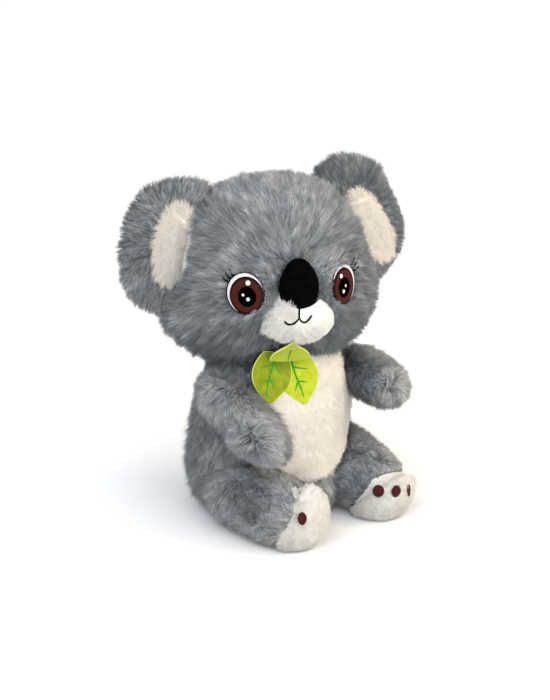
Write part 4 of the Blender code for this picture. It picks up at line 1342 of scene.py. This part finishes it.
@dataclass
class Limb(Part):
    """An arm or a leg: pile along it to its end, with a whorl near the end.

    whorl_shares is the whorl's place in the limb's box, and shorter how many millimetres shorter it is
    than its solid.
    """

    side: Side
    whorl_shares: tuple[float, float, float]
    shorter: float = 0.0
    pile: Pile = LIMB_PILE
    kind: ClassVar[str]
    joint: ClassVar[str]

    def __post_init__(self) -> None:
        """Makes the skin and finds the limb's axis and whorl."""
        self.name = f"{self.kind}_{self.side.value}"
        self.skin = Skin(f"{self.name}_skin", f"{self.name}_stuffing", Finish.GREY_BACKING, 2.4, 10)
        centre = self.skin.points.mean(0)
        axis = np.linalg.svd(self.skin.points - centre, full_matrices=False)[2][0]
        self.root = joint_place(f"{self.name}_{self.joint}")
        self.axis = axis if axis @ (centre - self.root) > 0 else -axis
        reach = self.reach(self.skin.points)
        self.skin.push((-self.shorter * MM * ease(reach / reach.max(), 0.1, 0.9))[:, None] * self.axis)
        low, high = (np.array(corner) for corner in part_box(f"{self.name}_cover"))
        self.whorl = low + (high - low) * self.whorl_shares

    def reach(self, spots: Rows) -> Rows:
        """How far along the limb each point lies from its root."""
        return (spots - self.root) @ self.axis

    def from_root(self, spots: Rows, first: Rows) -> Rows:
        """The first way that the pile takes at the limb's root, and then along the limb and down."""
        gone = ease_mm(self.reach(spots), 0, 38)[:, None]
        return gone * (self.axis + 0.35 * DOWN) + (1 - gone) * first

    def by_whorl(self, spots: Rows, low: float, high: float) -> Rows:
        """1 up to low mm from the whorl, and 0 from high mm on."""
        return 1 - ease_mm(np.linalg.norm(spots - self.whorl, axis=1), low, high)

    def shaded(self, spots: Rows, normals: Rows, top: float, end: float) -> Rows:
        """Painted light and shade on the pile's tone: top where the limb faces up, end at its end, painted
        lighter outside and painted darker inside.
        """
        up, gone = ease(normals[:, 2], -0.3, 0.6), ease_mm(self.reach(spots), 30, 70)
        return top * up + 0.20 * self.side.sign * normals[:, 0] + end * gone - 0.06

    def density(self, spots: Rows, normals: Rows) -> Rows:
        """Thin on the side that lies on the floor."""
        return np.where((normals[:, 2] < -0.9) & (spots[:, 2] < 6 * MM), 0.25, 1.0)

    def build(self, seed: int) -> None:
        """Adds the limb's skin and its coat."""
        self.skin.place(self.name, f"{self.name}_cover", f"{self.name}_stuffing", fill=0.8)
        self.dress(f"{self.name}_fur", self.skin, self.name, Finish.GREY_PILE, seed)


@dataclass
class Arm(Limb):
    """An arm, with a paw whose pile stands up round its whorl."""

    kind = "arm"
    joint = "raise"

    def flow(self, spots: Rows, normals: Rows) -> Rows:
        """Outwards and down from the shoulder, along the arm, and out of its whorl."""
        along = self.from_root(spots, np.array((self.side.sign, 0.0, 0.0)) + 0.7 * DOWN)
        star = unit(unit(spots - self.whorl) + 0.9 * drift(spots, 5 * MM, 77))
        return along + self.by_whorl(spots, 7, 20)[:, None] * (star * 1.2 - 0.8 * along)

    def stand(self, spots: Rows, normals: Rows) -> Rows:
        """Upright in the paw's whorl."""
        return 50 * self.by_whorl(spots, 1, 20)

    def painted_shading(self, spots: Rows, normals: Rows) -> Rows:
        """Painted light on top and at the end."""
        return self.shaded(spots, normals, 0.10, 0.30 if self.side is Side.LEFT else 0.06)


@dataclass
class Leg(Limb):
    """A leg: a limb with a plush sole, cut to some share and slant of its width, and velour toe pads.

    Each pad has how far it moves across and up on the sole, in millimetres, and the share of its width.
    """

    cut: tuple[float, float] = (1.0, 0.0)
    pads: tuple[tuple[float, float, float], ...] = ()
    kind = "leg"
    joint = "lift"

    def __post_init__(self) -> None:
        """Measures the sole as well, and gives the cloth behind it a white backing."""
        super().__post_init__()
        self.sole = Patch.of_node(f"sole_{self.side.value}", self.skin.middle)
        self.sole.width, self.sole.slant = self.cut
        mesh = self.skin.piece.data
        mesh.materials.append(Finish.WHITE_BACKING.material)
        white = self.behind(read_rows(mesh.polygons, "center"), read_rows(mesh.polygons, "normal"))
        mesh.polygons.foreach_set("material_index", white.astype(np.int32))

    def behind(self, spots: Rows, normals: Rows) -> Rows:
        """Whether each point of the leg lies behind its sole."""
        depth = self.sole.local(spots)[:, 2]
        return (normals @ self.sole.out > 0.0) & (self.sole.beyond(spots) < -1.0 * MM) & (depth > -11 * MM)

    def density(self, spots: Rows, normals: Rows) -> Rows:
        """Nothing under the sole."""
        return np.where(self.behind(spots, normals), 0.0, super().density(spots, normals))

    def beside(self, spots: Rows, normals: Rows, low: float, high: float, front: float = 0.2) -> Rows:
        """1 up to low mm from the sole's edge, 0 from high mm on, and 0 where the leg faces away from it."""
        return self.sole.near(spots, low, high) * ease(normals @ self.sole.out, -0.6, front)

    def flow(self, spots: Rows, normals: Rows) -> Rows:
        """Down from the hip, along the leg and into its whorl, but away from the sole round its rim."""
        whorl = self.by_whorl(spots, 7, 20)[:, None] * unit(spots - self.whorl) * 0.4
        near = self.beside(spots, normals, 2, 11)[:, None]
        along = self.from_root(spots, DOWN + 0.25 * self.axis) - whorl
        return (1 - near) * along + near * unit(spots - self.sole.middle)

    def stand(self, spots: Rows, normals: Rows) -> Rows:
        """More upright against the sole's edge."""
        return 12 * self.beside(spots, normals, 0, 6, 0.0)

    def painted_shading(self, spots: Rows, normals: Rows) -> Rows:
        """Painted shade on top and painted light at the end."""
        return self.shaded(spots, normals, -0.04, 0.06)

    def trim(self, spots: Rows, normals: Rows, heading: Rows) -> Rows:
        """A little shorter round the sole and on top, and longer below."""
        near = self.sole.near(spots, 0, 9) * ease(normals @ self.sole.out, -0.4, 0.2)
        above = ease_mm(self.sole.local(spots)[:, 1], 0, 10) if self.side is Side.LEFT else 0.0
        top, below = ease(normals[:, 2], 0.2, 0.8), ease(-normals[:, 2], 0, 0.6)
        return (1 - (0.40 + 0.35 * above) * near) * (1 - 0.35 * top) * (1 + 0.15 * below)

    def build(self, seed: int) -> None:
        """Adds the leg, its pads and its sole."""
        super().build(seed)
        trees = []
        for number, (aside, level, share) in enumerate(self.pads, start=1):
            node = f"toe_pad_{self.side.value}_{number}"
            place = Patch.of_node(node, self.skin.middle)
            shift = (place.across * aside + place.up * level + place.out * 0.8) * MM
            pad = Skin(f"{node}_velour", node, Finish.MAROON_VELOUR, 0.45, 4, shift)
            pad.stretch(pad.middle, place.across, share)
            pad.place(self.name, node)
            trees.append(pad.tree)
        node, under, brushed = f"sole_{self.side.value}", tuple(trees), self.sole.out * 0.2 + DOWN
        sole = PlushPanel(node, self.name, self.skin.middle, SOLE_PLUSH, brushed, under, cut=self.cut)
        sole.build(Finish.WHITE_BACKING, Finish.WHITE_PILE, seed + 3)
        rest = SoleRest(self, brushed, under)
        rest.dress(f"{node}_rest", self.skin, self.name, Finish.WHITE_PILE, seed + 4)
        log.info("%s with %d pads", self.name, len(trees))


@dataclass
class SoleRest(Part):
    """The sole's plush where the leg's own cloth stands in front of its panel."""

    leg: Leg
    brushed: Rows
    under: tuple[BVHTree, ...]
    pile: Pile = SOLE_PLUSH

    def density(self, spots: Rows, normals: Rows) -> Rows:
        """On the cloth behind the sole."""
        return np.where(self.leg.behind(spots, normals), 1.0, 0.0)

    def flow(self, spots: Rows, normals: Rows) -> Rows:
        """One way all over, and outwards at the rim."""
        return self.leg.sole.brushed(spots, self.brushed)


@dataclass
class Leaf:
    """One felt leaf: a bent sheet with veins laid on it, and its cut edge painted lighter as a painted
    highlight.

    Lengths are in millimetres. A vein runs between two places of a share across and a share of the length.
    first is the share of a whole leaf that is missing at the stem, point how pointed the leaf is, curl how
    far its tip bends out, lean how far the tip lies aside, and shift moves the leaf across, up and out.
    """

    name: str
    finish: Finish
    shift: tuple[float, float, float]
    veins: tuple[tuple[tuple[float, float], tuple[float, float]], ...]
    body: str = "leaves"
    rests_on: str = "belly_panel"
    upright: bool = False
    first: float = 0.12
    stretch: float = 1.0
    point: float = 0.6
    curl: float = -0.8
    lean: float = 0.0
    felt: float = 1.3
    cup: float = 1.6

    def __post_init__(self) -> None:
        """Finds the leaf's frame from its CAD plate: Z out of it, Y towards its stem."""
        mesh = frame["nodes"][self.name].data
        points = read_rows(mesh.vertices, "co")
        faces = [np.array(face.center) * face.area for face in mesh.polygons]
        middle = sum(faces) / sum(face.area for face in mesh.polygons)
        out = np.linalg.svd(points - points.mean(0), full_matrices=False)[2][2]
        out = out if out[1] < 0 else -out
        stem = middle - points[points[:, 2].argmax() if self.upright else points[:, 2].argmin()]
        stem = unit(stem - out * (stem @ out))
        turn = np.stack((np.cross(stem, out), stem, out), axis=1)
        local = (points - middle) @ turn
        low, high = local.min(0), local.max(0)
        self.width, self.length = high[0] - low[0], (high[1] - low[1]) * self.stretch
        origin = np.array(((low[0] + high[0]) / 2, high[1], low[2])) + np.array(self.shift) * MM
        self.place = Matrix.Translation((middle + turn @ origin).tolist()) @ Matrix(turn.tolist()).to_4x4()

    def half(self, share: float) -> float:
        """The leaf's half width at a share of its length from the stem."""
        at = self.first + (1 - self.first) * share
        return self.width / 2 * max(0.0, math.sin(math.pi * at)) ** (self.point + 0.38 * share)

    def surface(self, aside: float, share: float) -> Vector:
        """A point of the leaf's face, from its share across and its share of the length."""
        x = aside * self.half(share)
        bend = self.curl * MM * share**2 - self.cup * MM * (x / (self.width / 2)) ** 2
        return Vector((x + self.lean * MM * share, -self.length * share, self.felt * MM + bend))

    def build(self) -> BVHTree:
        """Adds the leaf and its veins.

        Returns:
            The leaf's faces, for what it presses.
        """
        bm = bmesh.new()
        bmesh.ops.create_grid(bm, x_segments=14, y_segments=22, size=1)
        for vert in bm.verts:
            vert.co = self.surface(vert.co.x, (1 - vert.co.y) / 2)
        bmesh.ops.remove_doubles(bm, verts=bm.verts, dist=0.05 * MM)
        lowered, _ = raised_items(bm)
        bmesh.ops.translate(bm, vec=(0, 0, -self.felt * MM), verts=lowered)
        bmesh.ops.recalc_face_normals(bm, faces=bm.faces)
        rim = [edge for edge in bm.edges if len(edge.link_faces) == 2 and edge.calc_face_angle() > 1.0]
        edge = {"offset": 0.45 * MM, "offset_type": "OFFSET", "affect": "EDGES", "segments": 2}
        # The bevel and the sides take the cut edge's felt, lighter as a painted highlight.
        bmesh.ops.bevel(bm, geom=rim, profile=0.5, material=1, **edge)
        for face in bm.faces:
            if abs(face.normal.z) < 0.5:
                face.material_index = 1
        bmesh.ops.transform(bm, matrix=self.place, verts=bm.verts)
        leaf = mesh_piece(f"{self.name}_felt", bm, self.finish.material, Finish.CUT_FELT.material)
        place_piece(leaf, self.body, self.finish, self.name)
        veins = self.build_veins()
        log.info("%s: %.0f x %.0f mm of felt", self.name, self.width / MM, self.length / MM)
        return BVHTree.FromObject(leaf, bpy.context.evaluated_depsgraph_get())

    def build_veins(self) -> bpy.types.Object:
        """Adds the leaf's veins: tapered ribs half sunk in the felt, the middle one thicker."""
        lines = []
        for (x0, y0), (x1, y1) in self.veins:
            first, taper = (1.15, 0.70) if y1 - y0 > 0.4 else (0.85, 0.55)
            line = []
            for share in (step / 6 for step in range(7)):
                spot = self.surface(x0 + (x1 - x0) * share, y0 + (y1 - y0) * share)
                radius = (first - taper * share) * MM
                line.append((self.place @ (spot - Vector((0, 0, 0.45 * radius))), radius))
            lines.append(line)
        veins = thread_line(f"{self.name}_veins", lines, Finish.VEIN_PRINT)
        return place_piece(veins, self.body, Finish.VEIN_PRINT)


@dataclass
class Studio:
    """The pale floor, the soft lamps and the camera."""

    azimuth: float = -36.0
    elevation: float = 16.0
    distance: float = 1.16
    lens: float = 85.0
    aim: tuple[float, float, float] = (0.004, 0.0, 0.1145)
    middle: tuple[float, float, float] = (0.03, -0.05, 0.0)
    near: float = 0.06
    far: float = 0.40
    glow: float = 0.6

    def build(self) -> None:
        """Adds the stage and sets the render's view."""
        self.build_floor()
        self.build_world()
        self.build_lamps()
        self.build_camera()
        bpy.context.scene.view_settings.view_transform = "Standard"

    def build_floor(self) -> None:
        """A pale floor that goes to pure white round the koala, and shows its shadow."""
        bm = bmesh.new()
        bmesh.ops.create_grid(bm, x_segments=1, y_segments=1, size=30)
        made, tree, shader = blank("White seamless paper")
        add_node(tree, shader, {"Base Color": srgb("#ededed"), "Roughness": 0.95})
        place = add_node(tree, "ShaderNodeNewGeometry").outputs["Position"]
        ends = {0: place, 1: self.middle}
        away = add_node(tree, "ShaderNodeVectorMath", ends, operation="DISTANCE").outputs["Value"]
        steps = {"Value": away, 1: self.near, 2: self.far, 3: 0.0, 4: self.glow}
        level = add_node(tree, "ShaderNodeMapRange", steps).outputs[0]
        glow = add_node(tree, "ShaderNodeEmission", {"Color": srgb("#ffffff"), "Strength": level}).outputs[0]
        seen = add_node(tree, "ShaderNodeLightPath").outputs["Is Camera Ray"]
        lit = add_node(tree, "ShaderNodeAddShader", {0: shader.outputs[0], 1: glow}).outputs[0]
        pick = add_node(tree, "ShaderNodeMixShader", {0: seen, 1: shader.outputs[0], 2: lit}).outputs[0]
        add_node(tree, tree.nodes["Material Output"], {"Surface": pick})
        mesh_piece("floor", bm, made)

    def build_world(self) -> None:
        """An even grey-white room, white where the camera or a reflection looks at it."""
        world = bpy.data.worlds.new("Studio room")
        bpy.context.scene.world = world
        world.use_nodes = True
        tree = world.node_tree
        paths = add_node(tree, "ShaderNodeLightPath")
        seen = paths.outputs["Is Camera Ray"]
        for ray in ("Is Glossy Ray", "Is Transmission Ray"):
            either = {0: seen, 1: paths.outputs[ray]}
            seen = add_node(tree, "ShaderNodeMath", either, operation="MAXIMUM").outputs[0]
        level = add_node(tree, "ShaderNodeMix", {0: seen, 2: 0.50, 3: 1.0}, data_type="FLOAT").outputs[0]
        add_node(tree, tree.nodes["Background"], {"Color": srgb("#ffffff"), "Strength": level})

    def build_lamps(self) -> None:
        """A broad soft key from the upper right, a cool fill from the left and two lamps in front."""
        lamps = (
            ("key", (0.75, -0.95, 1.10), 0.8, 11.0, "#ffecd2"),
            ("fill", (-1.05, -0.90, 1.15), 1.0, 19.0, "#e6f0ff"),
            ("front", (-0.10, -1.35, 1.05), 0.8, 11.0, "#fffaf2"),
            ("low front", (-0.40, -1.45, 0.32), 0.6, 8.0, "#fffaf2"),
        )
        for name, place, size, power, tint in lamps:
            lamp = bpy.data.lights.new(name, "AREA")
            lamp.size = size
            lamp.energy = power
            lamp.color = srgb(tint)[:3]
            holder = link_piece(name, lamp)
            holder.location = place
            holder.rotation_euler = (Vector((0, 0, 0.1)) - Vector(place)).to_track_quat("-Z", "Y").to_euler()

    def build_camera(self) -> None:
        """The camera at the photograph's angle."""
        turn, rise = math.radians(self.azimuth), math.radians(self.elevation)
        back = Vector((math.sin(turn) * math.cos(rise), -math.cos(turn) * math.cos(rise), math.sin(rise)))
        lens = bpy.data.cameras.new("camera")
        lens.lens = self.lens
        lens.sensor_width = 36.0
        lens.clip_start, lens.clip_end = 0.05, 100.0
        camera = link_piece("camera", lens)
        camera.location = Vector(self.aim) + back * self.distance
        camera.rotation_euler = (-back).to_track_quat("-Z", "Y").to_euler()
        bpy.context.scene.camera = camera


# How far each eye is turned towards its own side, in degrees, and moved inwards and up from its solid.
EYE_TURN = 14
EYE_SHIFTS = {Side.RIGHT: (0.0, 0.0), Side.LEFT: (4.0 * MM, 2.2 * MM)}
# Each glint's place from the pupil's, inwards and up, and its radius, in millimetres.
GLINTS = {
    Side.RIGHT: ((0.6, 9.2, 1.7), (-2.8, 1.1, 1.0), (0.9, -1.6, 1.3)),
    Side.LEFT: ((3.2, 8.2, 1.5), (-1.1, 1.0, 1.0), (1.4, -2.4, 1.35)),
}
# Each lash's angle from upright, in degrees, and its length in millimetres.
LASHES = ((36, 5.2), (48, 4.7), (60, 4.0))
# The points of the mouth's stitches, across and up from the foot of the upright one, in millimetres.
MOUTH_KNOTS = {
    "mouth_stitch": (
        (-9.2, -1.9), (-8.4, -3.0), (-7.0, -3.8), (-5.3, -3.9), (-3.3, -3.2), (-1.5, -1.7), (0.0, 0.0),
        (1.2, -1.7), (2.6, -2.7), (4.0, -2.7), (5.6, -1.9), (7.0, -0.3), (8.0, 1.4),
    ),
    "lip_stitch": ((0.0, -0.2), (0.0, 2.0), (0.0, 4.0), (0.0, 6.0), (0.0, 8.0)),
}


def hang_leaves() -> tuple[BVHTree, ...]:
    """Builds the three leaves, and gives their faces."""
    leaves = (
        # The right leaf is cut from the darker felt: painted shade.
        Leaf(
            "leaf_right", Finish.SHADED_FELT, (-4.0, 5.2, 0.0), (
                ((0.0, 0.16), (-0.30, 0.84)),
                ((0.0, 0.20), (-0.60, 0.33)),
                ((0.0, 0.20), (0.45, 0.44)),
                ((-0.10, 0.52), (-0.53, 0.60)),
                ((-0.10, 0.52), (0.20, 0.68)),
            ),
        ),
        Leaf(
            "leaf_left", Finish.LIME_FELT, (-1.0, 3.6, 0.0), (
                ((-0.26, 0.12), (0.02, 0.84)),
                ((-0.20, 0.24), (0.50, 0.34)),
                ((-0.10, 0.52), (0.36, 0.58)),
                ((-0.10, 0.52), (-0.42, 0.69)),
            ),
        ),
        Leaf(
            "leaf_top", Finish.LIME_FELT, (0.6, -2.2, 5.5), (((0.05, 0.50), (0.12, 0.04)),),
            body="head", rests_on="head_cover", upright=True,
            first=0.5, stretch=2.15, point=1.5, curl=6.0, lean=3.4,
        ),
    )
    return tuple(leaf.build() for leaf in leaves)


def main() -> None:
    """Builds the koala, part by part, and the studio round it."""
    logging.basicConfig(level=logging.INFO, format="%(name)s: %(message)s")
    Studio().build()
    leaves = hang_leaves()
    # Each ear's shade is painted shade on its pile's tone, more on the left ear.
    ears = (
        Ear(Side.RIGHT, seed=31, shade=-0.16, nearer=2.6 * MM, opened=5.0 * MM, wider=6.0 * MM),
        Ear(Side.LEFT, seed=36, shade=-0.38, nearer=0.8 * MM),
    )
    head = Head(tuple(ear.skin for ear in ears), leaves[2:])
    head.build()
    for ear in ears:
        ear.build(head.skin)
    Torso().build(leaves)
    Arm(Side.RIGHT, (0.19, 0.19, 0.385)).build(51)
    Arm(Side.LEFT, (0.30, 0.057, 0.69), shorter=6.0).build(52)
    right_pads = ((0.0, 1.0, 0.75),)
    left_pads = ((-0.5, 1.2, 0.95), (-2.0, 2.4, 0.92), (-2.6, -0.6, 0.55))
    Leg(Side.RIGHT, (0.17, 0.12, 0.50), cut=(0.84, 0.13), pads=right_pads).build(61)
    Leg(Side.LEFT, (0.07, 0.22, 0.40), cut=(0.94, 0.0), pads=left_pads).build(66)


if __name__ == "__main__":
    main()
